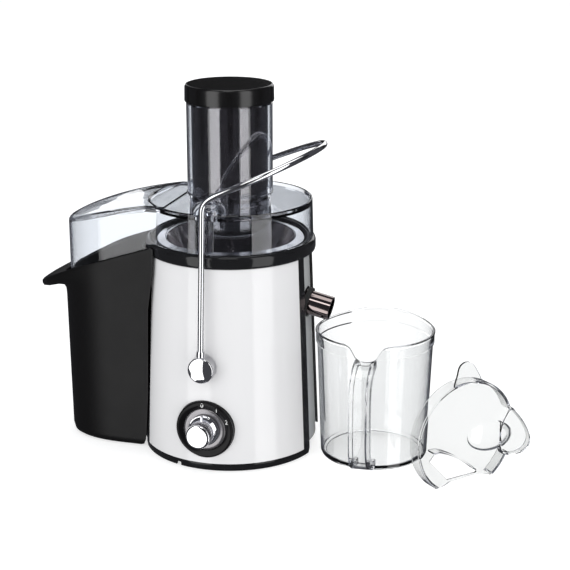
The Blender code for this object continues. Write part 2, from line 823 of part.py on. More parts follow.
knob_frame = Matrix.Translation((0, 0, KNOB_Z)) @ Matrix.Rotation(radians(90), 4, "X")
finish(
    "knob_bezel",
    turned(
        [
            (DIAL_R + GAP, -BEZEL_FACE - 0.0015),
            (DIAL_R + GAP, -BEZEL_BACK),
            (BEZEL_R, -BEZEL_BACK),
            (BEZEL_R, -BEZEL_FACE - 0.0020),
            (BEZEL_R - 0.0012, -BEZEL_FACE),
        ],
        MEDIUM_STEPS,
        knob_frame,
    ),
    black_gloss(),
)
KNOB_SHAFT_R = 0.0030
finish(
    "dial_ring",
    washer(KNOB_SHAFT_R + 2 * GAP, DIAL_R, -BEZEL_BACK, -BEZEL_FACE - 0.0010, MEDIUM_STEPS, knob_frame),
    silver_plastic(),
)
KNOB_BACK = -BEZEL_FACE
finish(
    "knob",
    turned(
        [
            (0, KNOB_BACK),
            (KNOB_SKIRT_R, KNOB_BACK),
            (KNOB_SKIRT_R - 0.0008, KNOB_BACK + 0.0030),
            (KNOB_R, KNOB_BACK + 0.0040),
            (KNOB_R - 0.0006, -KNOB_FACE - 0.0012),
            (KNOB_R - 0.0018, -KNOB_FACE),
            (0, -KNOB_FACE),
        ],
        MEDIUM_STEPS,
        Matrix.Rotation(radians(90), 4, "X"),
    ),
    chrome_plate(),
).location = (0, 0, KNOB_Z)
out_of_front = Matrix.Rotation(radians(90), 4, "X")
finish(
    "knob_shaft",
    disc(KNOB_SHAFT_R, -BEZEL_BACK - 0.0020, KNOB_BACK - GAP, SMALL_STEPS, out_of_front),
    bright_steel(),
).location = (0, 0, KNOB_Z)
finish(
    "speed_switch",
    block((-0.0140, -0.0795, KNOB_Z - 0.0120), (0.0140, -0.0600, KNOB_Z + 0.0120)),
    black_satin(),
)
finish(
    "interlock_switch",
    block((0.0110, -0.0735, PIVOT_Z - 0.0050), (0.0290, -0.0655, PIVOT_Z + 0.0050)),
    black_satin(),
)

# Locking arm --------------------------------------------------------------------------------------

CAP_DOME = 0.0008
pivot = (0, 0, PIVOT_Z)
for name, side in (("pivot_cap_front", -1), ("pivot_cap_rear", 1)):
    outline = [
        (0, 0.0760),
        (PIVOT_PIN_R, 0.0760),
        (PIVOT_PIN_R, PIVOT_CAP_BACK),
        (PIVOT_CAP_R, PIVOT_CAP_BACK),
        (PIVOT_CAP_R, PIVOT_CAP_FACE - 0.0015),
        (PIVOT_CAP_R - 0.0012, PIVOT_CAP_FACE - CAP_DOME),
        (0, PIVOT_CAP_FACE),
    ]
    facing = Matrix.Translation(pivot) @ Matrix.Rotation(radians(-90 * side), 4, "X")
    finish(name, turned(outline, MEDIUM_STEPS, facing), chrome_plate(), pivot)
    inside = "front" if side < 0 else "rear"
    bush = washer(PIVOT_PIN_R + GAP, PIVOT_HOLE_R - GAP, 0.0795, 0.0866, SMALL_STEPS, facing)
    finish(f"pivot_bush_{inside}", bush, soft_rubber())


def arm_path():
    """The rod's centre line: up the front leg, round the loop past the feed tube and down the rear leg."""
    foot = Vector((0, -ARM_LEG_BOTTOM_Y, PIVOT_Z + PIVOT_CAP_R + 2 * GAP))
    bend = Vector((0, -ARM_BEND_Y, ARM_BEND_Z))
    leg = (bend - foot).normalized()
    bend_r = 0.0090
    points = [foot, bend - leg * bend_r]
    loop_steps = 26
    loop = []
    for index in range(1, loop_steps):
        turn = pi * index / loop_steps
        reach = sin(turn)
        loop.append(Vector((ARM_REACH * reach, -ARM_BEND_Y * cos(turn), ARM_BEND_Z + ARM_RISE * reach)))
    start = points[-1]
    first = loop[0]
    for step in (0.33, 0.66):
        points.append((1 - step) ** 2 * start + 2 * step * (1 - step) * bend + step**2 * first)
    front = points
    rear = [Vector((point.x, -point.y, point.z)) for point in reversed(front)]
    return front + loop + rear


curve = bpy.data.curves.new("locking_arm", "CURVE")
curve.dimensions = "3D"
curve.bevel_depth = ARM_ROD_R
curve.bevel_resolution = 2
curve.use_fill_caps = True
spline = curve.splines.new("POLY")
route = arm_path()
spline.points.add(len(route) - 1)
for point, place in zip(spline.points, route):
    point.co = (*(place - Vector(pivot)), 1)
curve.materials.append(chrome_plate())
locking_arm = bpy.data.objects.new("locking_arm", curve)
locking_arm.location = pivot
locking_arm.parent = drive_axis
bpy.context.scene.collection.objects.link(locking_arm)

# Jug ----------------------------------------------------------------------------------------------

jug_place = Matrix.Translation((JUG_X, JUG_Y, 0)) @ Matrix.Rotation(radians(JUG_HANDLE_POLAR), 4, "Z")
jug_step = JUG_HEIGHT - 0.0130
jug_body = turned(
    [
        (0, 0.0004),
        (JUG_BASE_R - 0.003, 0.0004),
        (JUG_BASE_R, 0.0030),
        (JUG_RIM_R - 0.0012, jug_step),
        (JUG_RIM_R, jug_step + 0.0010),
        (JUG_RIM_R, JUG_HEIGHT),
        (JUG_RIM_R - JUG_WALL, JUG_HEIGHT),
        (JUG_RIM_R - 0.0012 - JUG_WALL, jug_step - 0.0010),
        (JUG_BASE_R - JUG_WALL, 0.0060),
        (JUG_BASE_R - 0.004, 0.0034),
        (0, 0.0034),
    ],
    LARGE_STEPS,
)
for vertex in jug_body.verts:
    rise = max(0, (vertex.co.z - JUG_LIP_START) / (JUG_HEIGHT - JUG_LIP_START))
    share = rise * max(0, -vertex.co.x / JUG_RIM_R) ** 4
    vertex.co.x -= JUG_LIP_OUT * share
    vertex.co.z += JUG_LIP_UP * share
bmesh.ops.transform(jug_body, matrix=jug_place, verts=jug_body.verts)
jug = finish("jug", jug_body, clear_plastic())


def handle_solid(half_width, inset):
    """A strap bowed out from the jug's side, drawn as a band of level rings across its width."""
    outer = []
    inner = []
    steps = 12
    low = 0.0060
    high = JUG_HEIGHT - JUG_DIP_DEPTH - 0.0040
    for index in range(steps + 1):
        share = index / steps
        height = low + (high - low) * share
        wall = JUG_BASE_R + (JUG_RIM_R - JUG_BASE_R) * height / JUG_HEIGHT
        bow = JUG_HANDLE_OUT * (1 - abs(2 * share - 1) ** 4) ** 0.5
        outer.append((wall + bow - inset + 0.0020, height))
        inner.append((wall + max(bow - 0.0075, -0.0012), height))
    section = outer + inner[::-1]
    return lofted([[(x, y, z) for x, z in section] for y in (-half_width, half_width)])


strap = handle_solid(JUG_HANDLE_HALF_WIDTH, 0)
bmesh.ops.transform(strap, matrix=jug_place, verts=strap.verts)
join(jug, "jug_handle", strap)

dip = []
for depth_out in (JUG_RIM_R - 0.010, JUG_RIM_R + 0.010):
    dip.append(
        [
            (depth_out, -0.0140, JUG_HEIGHT + 0.002),
            (depth_out, -0.0085, JUG_HEIGHT - JUG_DIP_DEPTH * 0.7),
            (depth_out, 0, JUG_HEIGHT - JUG_DIP_DEPTH),
            (depth_out, 0.0085, JUG_HEIGHT - JUG_DIP_DEPTH * 0.7),
            (depth_out, 0.0140, JUG_HEIGHT + 0.002),
        ]
    )
dip_cutter = lofted(dip)
bmesh.ops.transform(dip_cutter, matrix=jug_place, verts=dip_cutter.verts)
cut(jug, "jug_dip", dip_cutter)

# Jug lid ------------------------------------------------------------------------------------------

lid_place = (
    Matrix.Translation((JUG_LID_X, JUG_LID_Y, 0.0004 - JUG_LID_CUT))
    @ Matrix.Rotation(radians(JUG_LID_POLAR + 90), 4, "Z")
    @ Matrix.Rotation(radians(90), 4, "X")
)


def lid_prism(outline, low, high):
    """An outline in the lid's own plane, carried between two depths and stood up in its place."""
    shape = lofted([[(x, y, z) for x, y in outline] for z in (low, high)])
    bmesh.ops.transform(shape, matrix=lid_place, verts=shape.verts)
    return shape


def oval(centre_x, centre_y, half_length, half_width, count=26):
    """Points of an ellipse in the lid's own plane."""
    turns = [2 * pi * index / count for index in range(count)]
    return [(centre_x + half_length * cos(turn), centre_y + half_width * sin(turn)) for turn in turns]


jug_lid = finish(
    "jug_lid",
    turned(
        [
            (0, 0),
            (JUG_LID_R, 0),
            (JUG_LID_R, -JUG_LID_DEPTH),
            (JUG_LID_R - JUG_LID_WALL, -JUG_LID_DEPTH),
            (JUG_LID_R - JUG_LID_WALL, -JUG_LID_WALL),
            (0, -JUG_LID_WALL),
        ],
        LARGE_STEPS,
        lid_place,
    ),
    clear_plastic(),
)
thumb_tab = [(-0.0150, 0.0530), (0.0150, 0.0530), (0.0090, 0.0680), (0.0020, 0.0760)]
thumb_tab += [(-0.0050, 0.0775), (-0.0110, 0.0740), (-0.0130, 0.0660)]
join(jug_lid, "thumb_tab", lid_prism(thumb_tab, -JUG_LID_WALL, 0))
hood_oval = oval(0.0410, -0.0060, JUG_LID_HOOD_REACH - 0.0410, 0.0240)
join(jug_lid, "jug_lid_hood", lid_prism(hood_oval, -JUG_LID_WALL / 2, 0.0060))
hollow_oval = oval(0.0410, -0.0060, JUG_LID_HOOD_REACH - 0.0410 - JUG_LID_WALL, 0.0240 - JUG_LID_WALL)
cut(jug_lid, "jug_lid_hood_hollow", lid_prism(hollow_oval, -0.0305, 0.0061 - JUG_LID_WALL))
strainer_arc = [(-0.0385, -0.0088), (-0.0300, -0.0095), (-0.0190, -0.0141)]
strainer_arc += [(-0.0070, -0.0214), (0.0055, -0.0304), (0.0135, -0.0372)]
STRAINER_DEPTH = 0.0110
baffle = strainer_arc + [(x, y + 0.0016) for x, y in reversed(strainer_arc)]
join(jug_lid, "strainer_baffle", lid_prism(baffle, -STRAINER_DEPTH, -JUG_LID_WALL / 3))
window = [(x, y - 0.0004) for x, y in strainer_arc]
window += [(0.0120, -0.0385), (-0.0220, -0.0385), (-0.0440, -0.0150)]
cut(jug_lid, "strainer_window", lid_prism(window, -JUG_LID_WALL * 1.5, JUG_LID_WALL))
below = [(-0.08, JUG_LID_CUT - 0.03), (0.08, JUG_LID_CUT - 0.03), (0.08, JUG_LID_CUT), (-0.08, JUG_LID_CUT)]
cut(jug_lid, "jug_lid_chord", lid_prism(below, -0.03, 0.02))
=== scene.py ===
import json
from math import atan2, cos, pi, radians, sin, sqrt

import bpy
from mathutils import Matrix, Vector


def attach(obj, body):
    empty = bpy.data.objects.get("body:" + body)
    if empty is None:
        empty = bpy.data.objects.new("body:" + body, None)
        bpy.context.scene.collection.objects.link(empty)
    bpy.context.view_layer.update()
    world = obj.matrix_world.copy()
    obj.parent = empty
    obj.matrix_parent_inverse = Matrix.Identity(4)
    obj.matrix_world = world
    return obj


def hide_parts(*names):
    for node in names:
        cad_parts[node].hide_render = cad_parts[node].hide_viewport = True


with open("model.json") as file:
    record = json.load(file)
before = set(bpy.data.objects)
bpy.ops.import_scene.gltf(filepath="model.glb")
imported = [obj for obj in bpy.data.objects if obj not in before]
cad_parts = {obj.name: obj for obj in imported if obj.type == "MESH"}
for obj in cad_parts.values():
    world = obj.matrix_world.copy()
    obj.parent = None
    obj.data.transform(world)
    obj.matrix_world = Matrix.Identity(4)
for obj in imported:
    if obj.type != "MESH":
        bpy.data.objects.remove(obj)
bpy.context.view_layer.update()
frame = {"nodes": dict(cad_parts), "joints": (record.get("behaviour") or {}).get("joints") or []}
joints = {joint["name"]: joint for joint in frame["joints"]}
drive = Vector(joints["drive_spin"]["pos_m"])
drive.z = 0
AT_DRIVE = Matrix.Translation(drive)

# The studio: a faintly glowing floor that runs on past the picture, in a pale room with five softboxes.
# Mirror rays pass through the floor into a dark room, which keeps black and chrome parts deep.
# Narrow dark cards stand out of the camera's sight and give clear plastic its edge lines.

FLOOR_SPAN = 30
FLOOR_GLOW = 0.63
WHITE_BACKDROP = ((1, 1, 1, 1), 1.05)
LIT_ROOM = ((0.96, 0.98, 1, 1), 0.82)
DARK_ROOM = ((0.86, 0.88, 1, 1), 0.07)
PALE_ROOM = ((0.84, 0.87, 1, 1), 0.55)
CARD_AZIMUTHS = (18, 104, 158, 201, 248, 292)


def math_node(tree, operation, first, second):
    """A math node fed by sockets or plain numbers."""
    node = tree.nodes.new("ShaderNodeMath")
    node.operation = operation
    for socket, source in zip(node.inputs, (first, second)):
        if isinstance(source, (int, float)):
            socket.default_value = source
        else:
            tree.links.new(source, socket)
    return node.outputs["Value"]


def either(tree, share, first, second):
    """Mixes two shaders by a share, where 0 is all of the first."""
    node = tree.nodes.new("ShaderNodeMixShader")
    for socket, source in zip(node.inputs, (share, first, second)):
        tree.links.new(source, socket)
    return node.outputs["Shader"]


def room(tree, colour, strength):
    """Plain light from all round."""
    node = tree.nodes.new("ShaderNodeBackground")
    node.inputs["Color"].default_value = colour
    node.inputs["Strength"].default_value = strength
    return node.outputs["Background"]


bpy.ops.object.select_all(action="DESELECT")
bpy.ops.mesh.primitive_plane_add(size=FLOOR_SPAN, location=(0, 0, 0))
floor = bpy.context.object
floor.name = "studio_floor"
floor_paint = bpy.data.materials.new("floor_paint")
floor_paint.use_nodes = True
floor_tree = floor_paint.node_tree
floor_shader = floor_tree.nodes["Principled BSDF"]
floor_shader.inputs["Roughness"].default_value = 0.9
floor_shader.inputs["Specular IOR Level"].default_value = 0.1
floor_shader.inputs["Emission Color"].default_value = (1, 1, 1, 1)
floor_shader.inputs["Emission Strength"].default_value = FLOOR_GLOW
floor_noise = floor_tree.nodes.new("ShaderNodeTexNoise")
floor_noise.inputs["Scale"].default_value = 3
floor_tone = floor_tree.nodes.new("ShaderNodeValToRGB")
floor_tone.color_ramp.elements[0].color = (0.49, 0.49, 0.49, 1)
floor_tone.color_ramp.elements[1].color = (0.51, 0.51, 0.51, 1)
floor_tree.links.new(floor_noise.outputs["Fac"], floor_tone.inputs["Fac"])
floor_tree.links.new(floor_tone.outputs["Color"], floor_shader.inputs["Base Color"])
floor_path = floor_tree.nodes.new("ShaderNodeLightPath")
after_mirror = math_node(floor_tree, "GREATER_THAN", floor_path.outputs["Glossy Depth"], 0.5)
unseen = floor_tree.nodes.new("ShaderNodeBsdfTransparent")
floor_seen = either(floor_tree, after_mirror, floor_shader.outputs["BSDF"], unseen.outputs["BSDF"])
floor_tree.links.new(floor_seen, floor_tree.nodes["Material Output"].inputs["Surface"])
floor.data.materials.append(floor_paint)

world = bpy.data.worlds.new("studio_air")
bpy.context.scene.world = world
world.use_nodes = True
air = world.node_tree
air.nodes.remove(air.nodes["Background"])
path = air.nodes.new("ShaderNodeLightPath")
seen = math_node(air, "MAXIMUM", path.outputs["Is Camera Ray"], path.outputs["Is Transmission Ray"])
once_mirrored = math_node(air, "GREATER_THAN", path.outputs["Glossy Depth"], 0.5)
often_mirrored = math_node(air, "GREATER_THAN", path.outputs["Glossy Depth"], 1.5)
straight_on = either(air, seen, room(air, *LIT_ROOM), room(air, *WHITE_BACKDROP))
in_mirrors = either(air, once_mirrored, straight_on, room(air, *DARK_ROOM))
inside_glass = either(air, often_mirrored, in_mirrors, room(air, *PALE_ROOM))
air.links.new(inside_glass, air.nodes["World Output"].inputs["Surface"])
bpy.context.scene.view_settings.view_transform = "Standard"


def round_the_set(azimuth, distance, height):
    """A place round the set, where azimuth 0 is straight in front and 90 is on the jug's side."""
    turn = radians(azimuth)
    return Vector((distance * sin(turn), -distance * cos(turn), height))


def softbox(name, place, aim, width, height, power):
    """A rectangular light that faces a point and is not seen by the camera itself."""
    lamp = bpy.data.lights.new(name, "AREA")
    lamp.shape = "RECTANGLE"
    lamp.size = width
    lamp.size_y = height
    lamp.energy = power
    made = bpy.data.objects.new(name, lamp)
    made.location = place
    made.rotation_euler = (aim - place).to_track_quat("-Z", "Y").to_euler()
    made.visible_camera = False
    bpy.context.scene.collection.objects.link(made)


set_middle = Vector((0, 0, 0.15))
softbox("left_softbox", round_the_set(-27, 2.3, 0.15), set_middle, 1.3, 3.8, 34)
softbox("right_softbox", round_the_set(60, 2.3, 0.15), set_middle, 1.2, 3.8, 30)
softbox("overhead_softbox", Vector((0, 0.25, 2.2)), set_middle, 1.6, 1.2, 11)
softbox("high_softbox", round_the_set(12, 1.7, 1.95), set_middle, 0.9, 0.5, 5)
softbox("rear_softbox", round_the_set(190, 2.4, 1.0), set_middle, 2.2, 1.5, 12)

card_black = bpy.data.materials.new("card_black")
card_black.use_nodes = True
card_black.node_tree.nodes["Principled BSDF"].inputs["Base Color"].default_value = (0.01, 0.01, 0.01, 1)
card_black.node_tree.nodes["Principled BSDF"].inputs["Roughness"].default_value = 0.9
for card_azimuth in CARD_AZIMUTHS:
    bpy.ops.mesh.primitive_plane_add(size=1, location=round_the_set(card_azimuth, 1.9, 0.85))
    card = bpy.context.object
    card.name = f"dark_card_{card_azimuth}"
    card.scale = (0.5, 1.9, 1)
    card.rotation_euler = (radians(90), 0, radians(card_azimuth))
    card.visible_camera = False
    card.visible_shadow = False
    card.visible_diffuse = False
    card.data.materials.append(card_black)

lens = bpy.data.cameras.new("studio_camera")
lens.sensor_width = 36
lens.lens = 94.74
camera = bpy.data.objects.new("studio_camera", lens)
camera.location = drive + Vector((0.4464, -1.3739, 0.5979))
camera.rotation_euler = (radians(73.28), 0, radians(15.86))
bpy.context.scene.collection.objects.link(camera)
bpy.context.scene.camera = camera

# White front panel: a moulded high-gloss skin, 2.2 mm thick, that snaps over the black front frame.
# It leans in towards the top, and it has a hole for the arm's pivot and a large one for the dial.

BASE_LOW_R = 0.0900
BASE_LOW_Z = 0.0074
BASE_HIGH_R = 0.0823
BASE_HIGH_Z = 0.2035
SKIN = 0.0022
FIT_GAP = 0.0003
PANEL_LEFT = -142
PANEL_RIGHT = -20
PANEL_FOOT = 0.0083
PIVOT_Z = joints["arm_swing"]["pos_m"][2]
DIAL_Z = joints["knob_turn"]["pos_m"][2]
DIAL_HOLE_R = 0.0293
PIVOT_HOLE_R = 0.0070


def base_radius(height):
    """Outer radius of the base at a height."""
    share = (height - BASE_LOW_Z) / (BASE_HIGH_Z - BASE_LOW_Z)
    return BASE_LOW_R + (BASE_HIGH_R - BASE_LOW_R) * share


def only(piece):
    """Leaves one piece selected and active."""
    bpy.ops.object.select_all(action="DESELECT")
    piece.select_set(True)
    bpy.context.view_layer.objects.active = piece


def applied(piece, kind, **settings):
    """Adds a modifier with its settings and applies it."""
    modifier = piece.modifiers.new(kind.lower(), kind)
    for setting, value in settings.items():
        setattr(modifier, setting, value)
    only(piece)
    bpy.ops.object.modifier_apply(modifier=modifier.name)


def closed_up(piece):
    """Merges seams and poles, drops stray edges, fills an open end and turns every face outwards."""
    only(piece)
    bpy.ops.object.mode_set(mode="EDIT")
    bpy.ops.mesh.select_all(action="SELECT")
    bpy.ops.mesh.remove_doubles(threshold=0.000006)
    bpy.ops.mesh.dissolve_degenerate(threshold=0.000006)
    bpy.ops.mesh.delete_loose(use_verts=True, use_edges=True, use_faces=False)
    bpy.ops.mesh.select_all(action="SELECT")
    bpy.ops.mesh.fill_holes(sides=0)
    bpy.ops.mesh.select_all(action="SELECT")
    bpy.ops.mesh.normals_make_consistent(inside=False)
    bpy.ops.object.mode_set(mode="OBJECT")


def spun(name, outline, place=AT_DRIVE, steps=120, start=0, sweep=360):
    """A closed outline of (radius, height) points spun round its own axis and set in its place."""
    bpy.ops.object.select_all(action="DESELECT")
    bpy.ops.mesh.primitive_circle_add(vertices=len(outline), radius=1)
    piece = bpy.context.object
    piece.name = name
    for vertex, (radius, height) in zip(piece.data.vertices, outline):
        vertex.co = (radius * cos(radians(start)), radius * sin(radians(start)), height)
    bpy.ops.object.mode_set(mode="EDIT")
    bpy.ops.mesh.select_all(action="SELECT")
    if sweep < 360:
        bpy.ops.mesh.edge_face_add()
    bpy.ops.mesh.spin(steps=steps, angle=radians(sweep), center=(0, 0, 0), axis=(0, 0, -1))
    bpy.ops.object.mode_set(mode="OBJECT")
    closed_up(piece)
    piece.data.transform(place)
    return piece


def block(name, low, high):
    """A box between two corners, to cut or join with."""
    low = Vector(low)
    high = Vector(high)
    bpy.ops.object.select_all(action="DESELECT")
    bpy.ops.mesh.primitive_cube_add(size=1, location=(low + high) / 2)
    piece = bpy.context.object
    piece.name = name
    piece.scale = high - low
    bpy.ops.object.transform_apply(location=True, rotation=True, scale=True)
    return piece


def rod(radius, low, high, place, steps=48):
    """A plain round bar along its place's Z axis, to cut or join with."""
    outline = [(0, low), (radius, low), (radius, high), (0, high)]
    return spun("rod", outline, place, steps)


def merged(piece, tool, operation):
    """Joins or cuts with another shape, which is then gone."""
    applied(piece, "BOOLEAN", operation=operation, solver="EXACT", object=tool)
    bpy.data.objects.remove(tool)
    closed_up(piece)


def carved(piece, *tools):
    for tool in tools:
        merged(piece, tool, "DIFFERENCE")


def fused(piece, *tools):
    for tool in tools:
        merged(piece, tool, "UNION")


def softened(piece, width, segments=2, angle=40):
    """Rounds off the sharp edges."""
    limit = radians(angle)
    applied(piece, "BEVEL", width=width, segments=segments, limit_method="ANGLE", angle_limit=limit)


def smoothed(piece, angle=35):
    """Smooth shading that keeps sharp edges and lets the large faces lead."""
    only(piece)
    bpy.ops.object.shade_smooth_by_angle(angle=radians(angle))
    applied(piece, "WEIGHTED_NORMAL", keep_sharp=True)


def done(piece, material, body, slot, *nodes):
    """Gives a piece its finish and body, and says which drawn nodes it stands for."""
    piece.data.name = piece.name
    piece.data.materials.clear()
    piece.data.materials.append(material)
    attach(piece, body)
    if nodes:
        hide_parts(*nodes)


def effect(name, inputs, output, output_kind="NodeSocketFloat"):
    """An empty node group with named inputs and one output, and its two end nodes."""
    group = bpy.data.node_groups.new(name, "ShaderNodeTree")
    for label, start_value in inputs.items():
        kind = "NodeSocketColor" if isinstance(start_value, tuple) else "NodeSocketFloat"
        socket = group.interface.new_socket(label, in_out="INPUT", socket_type=kind)
        socket.default_value = start_value
    group.interface.new_socket(output, in_out="OUTPUT", socket_type=output_kind)
    return group, group.nodes.new("NodeGroupInput"), group.nodes.new("NodeGroupOutput")


def noise_of(tree, scale, detail):
    """Noise on the piece's own coordinates, with its scale from a socket or a number."""
    coordinate = tree.nodes.new("ShaderNodeTexCoord")
    noise = tree.nodes.new("ShaderNodeTexNoise")
    noise.inputs["Detail"].default_value = detail
    tree.links.new(coordinate.outputs["Object"], noise.inputs["Vector"])
    if isinstance(scale, (int, float)):
        noise.inputs["Scale"].default_value = scale
    else:
        tree.links.new(scale, noise.inputs["Scale"])
    return noise.outputs["Fac"]


# A slow change of a number over the surface, as handling and moulding leave in a polish.
uneven, ends_in, ends_out = effect("uneven_polish", {"Level": 0.2, "Spread": 0.1, "Scale": 40.0}, "Value")
centred = math_node(uneven, "SUBTRACT", noise_of(uneven, ends_in.outputs["Scale"], 3), 0.5)
spread = math_node(uneven, "MULTIPLY", centred, ends_in.outputs["Spread"])
level = math_node(uneven, "ADD", spread, ends_in.outputs["Level"])
uneven.links.new(math_node(uneven, "MAXIMUM", level, 0.0), ends_out.inputs["Value"])

# A faint cloudiness in a colour.
colour_inputs = {"Colour": (1.0, 1.0, 1.0, 1.0), "Drift": 0.05, "Scale": 25.0}
clouded, ends_in, ends_out = effect("clouded_colour", colour_inputs, "Colour", "NodeSocketColor")
patches = noise_of(clouded, ends_in.outputs["Scale"], 4)
share = math_node(clouded, "MULTIPLY", patches, ends_in.outputs["Drift"])
shade = math_node(clouded, "SUBTRACT", 1.0, share)
tone = clouded.nodes.new("ShaderNodeMix")
tone.data_type = "RGBA"
tone.blend_type = "MULTIPLY"
tone.inputs["Factor"].default_value = 1
clouded.links.new(ends_in.outputs["Colour"], tone.inputs["A"])
clouded.links.new(shade, tone.inputs["B"])
clouded.links.new(tone.outputs["Result"], ends_out.inputs["Colour"])

# The fine skin of a moulding, from a slow ripple to a spark-eroded grain.
grain, ends_in, ends_out = effect("moulded_grain", {"Scale": 900.0, "Ripple": 0.3}, "Height")
fine = noise_of(grain, ends_in.outputs["Scale"], 2)
ripple = math_node(grain, "MULTIPLY", noise_of(grain, 22.0, 1), ends_in.outputs["Ripple"])
grain.links.new(math_node(grain, "ADD", fine, ripple), ends_out.inputs["Height"])

# Painted highlight: sharp convex edges, found by pointiness and broken up by noise, get a lighter colour as
# if they caught the light.
edge_highlight_mask, ends_in, ends_out = effect("painted_edge_highlight", {"Start": 0.52, "Amount": 0.5}, "Mask")
shape = edge_highlight_mask.nodes.new("ShaderNodeNewGeometry")
beyond = math_node(edge_highlight_mask, "SUBTRACT", shape.outputs["Pointiness"], ends_in.outputs["Start"])
sharper = math_node(edge_highlight_mask, "MULTIPLY", math_node(edge_highlight_mask, "MAXIMUM", beyond, 0.0), 12.0)
patchy = math_node(edge_highlight_mask, "MULTIPLY", sharper, noise_of(edge_highlight_mask, 160.0, 3))
amount = math_node(edge_highlight_mask, "MULTIPLY", patchy, ends_in.outputs["Amount"])
edge_highlight_mask.links.new(math_node(edge_highlight_mask, "MINIMUM", amount, 1.0), ends_out.inputs["Mask"])


def placed(tree, group, **values):
    """Puts a node group in a material with its own values."""
    node = tree.nodes.new("ShaderNodeGroup")
    node.node_tree = group
    for label, value in values.items():
        node.inputs[label].default_value = value
    return node


def bumped(tree, shader, height, depth, strength=0.5):
    """Feeds a height, in metres at full strength, to the shader's normal."""
    bump = tree.nodes.new("ShaderNodeBump")
    bump.inputs["Distance"].default_value = depth
    bump.inputs["Strength"].default_value = strength
    tree.links.new(height, bump.inputs["Height"])
    tree.links.new(bump.outputs["Normal"], shader.inputs["Normal"])
    return bump


def surface(name, colour, roughness, metallic=0.0, drift=0.05, spread=0.06, grain_scale=900.0, depth=0.00002):
    """A moulded or metal finish: clouded colour, uneven polish and a fine grain."""
    made = bpy.data.materials.new(name)
    made.use_nodes = True
    tree = made.node_tree
    shader = tree.nodes["Principled BSDF"]
    shader.inputs["Metallic"].default_value = metallic
    colours = placed(tree, clouded, Colour=(*colour, 1), Drift=drift, Scale=30)
    tree.links.new(colours.outputs["Colour"], shader.inputs["Base Color"])
    polish = placed(tree, uneven, Level=roughness, Spread=spread, Scale=45)
    tree.links.new(polish.outputs["Value"], shader.inputs["Roughness"])
    skin = placed(tree, grain, Scale=grain_scale, Ripple=0.4)
    bumped(tree, shader, skin.outputs["Height"], depth)
    return made


def adjusted(material, **settings):
    """Sets plain values on a finish's shader, by its sockets' names with underscores for spaces."""
    shader = material.node_tree.nodes["Principled BSDF"]
    for label, value in settings.items():
        shader.inputs[label.replace("_", " ")].default_value = value


white_gloss = surface(
    "panel_white", (0.66, 0.655, 0.66), 0.16, drift=0.02, spread=0.05, grain_scale=260, depth=0.00001
)
adjusted(white_gloss, Coat_Weight=0.3, Coat_Roughness=0.05)

FACING_FRONT = Matrix.Rotation(radians(90), 4, "X")


def front_axis(height):
    """A frame at the drive axis and a height, whose Z axis points out of the machine's front."""
    return AT_DRIVE @ Matrix.Translation((0, 0, height)) @ FACING_FRONT


def shell(low, high, recess, thickness=SKIN):
    """Section of a thin wall that follows the base between two heights."""
    outside_low = base_radius(low) - recess
    outside_high = base_radius(high) - recess
    return [
        (outside_low - thickness, low),
        (outside_low, low),
        (outside_high, high),
        (outside_high - thickness, high),
    ]


panel = spun(
    "white_front_panel",
    shell(PANEL_FOOT, BASE_HIGH_Z, 0),
    steps=122,
    start=PANEL_LEFT,
    sweep=PANEL_RIGHT - PANEL_LEFT,
)
carved(
    panel,
    rod(DIAL_HOLE_R, 0.07, 0.1, front_axis(DIAL_Z), 96),
    rod(PIVOT_HOLE_R, 0.07, 0.1, front_axis(PIVOT_Z)),
)
softened(panel, 0.0005, 3)
smoothed(panel)
done(panel, white_gloss, "base", "white_gloss", "front_panel")

# Front frame: the black gloss moulding behind the white panel. It shows as an upright strip at each side
# and as the trim round the foot, which has a small notch for the tool that frees the panel.

FRAME_LEFT = -148
FRAME_RIGHT = -13
TRIM_FOOT = 0.0008
TRIM_HEIGHT = 0.0080
NOTCH_X = -0.0290
NOTCH_HALF_WIDTH = 0.0026
NOTCH_TOP = 0.0046

black_gloss = surface(
    "frame_black", (0.010, 0.010, 0.011), 0.10, drift=0.3, spread=0.06, grain_scale=300, depth=0.00001
)
adjusted(black_gloss, Specular_IOR_Level=0.3, Coat_Weight=0.15, Coat_Roughness=0.04)

wall_in = 2 * SKIN + FIT_GAP
front_frame = spun(
    "black_front_frame",
    [
        (base_radius(TRIM_FOOT) - wall_in, TRIM_FOOT),
        (base_radius(TRIM_FOOT) - 0.0014, TRIM_FOOT),
        (base_radius(TRIM_HEIGHT), TRIM_HEIGHT - 0.0014),
        (base_radius(BASE_HIGH_Z), BASE_HIGH_Z),
        (base_radius(BASE_HIGH_Z) - wall_in, BASE_HIGH_Z),
    ],
    steps=135,
    start=FRAME_LEFT,
    sweep=FRAME_RIGHT - FRAME_LEFT,
)
panel_room = spun(
    "panel_room",
    shell(TRIM_HEIGHT, BASE_HIGH_Z + 0.002, -0.002, 0.002 + SKIN + FIT_GAP),
    steps=122,
    start=PANEL_LEFT - 0.25,
    sweep=PANEL_RIGHT - PANEL_LEFT + 0.5,
)
notch_low = drive + Vector((NOTCH_X - NOTCH_HALF_WIDTH, -0.1, 0))
notch_high = drive + Vector((NOTCH_X + NOTCH_HALF_WIDTH, -0.07, NOTCH_TOP))
carved(
    front_frame,
    panel_room,
    rod(DIAL_HOLE_R, 0.07, 0.1, front_axis(DIAL_Z), 96),
    rod(PIVOT_HOLE_R, 0.07, 0.1, front_axis(PIVOT_Z)),
    block("notch", notch_low, notch_high),
)
softened(front_frame, 0.0004, 2)
smoothed(front_frame)
done(front_frame, black_gloss, "base", "black_gloss", "front_frame")

# Top ring: a black gloss collar that clamps the front, side and rear covers together.
# Its outside is rolled in at the top, where the lid's skirt sits down on it.

RING_OUTER = 0.0846
RING_INNER = 0.0792
RING_LOW = 0.2038
RING_HIGH = 0.2168

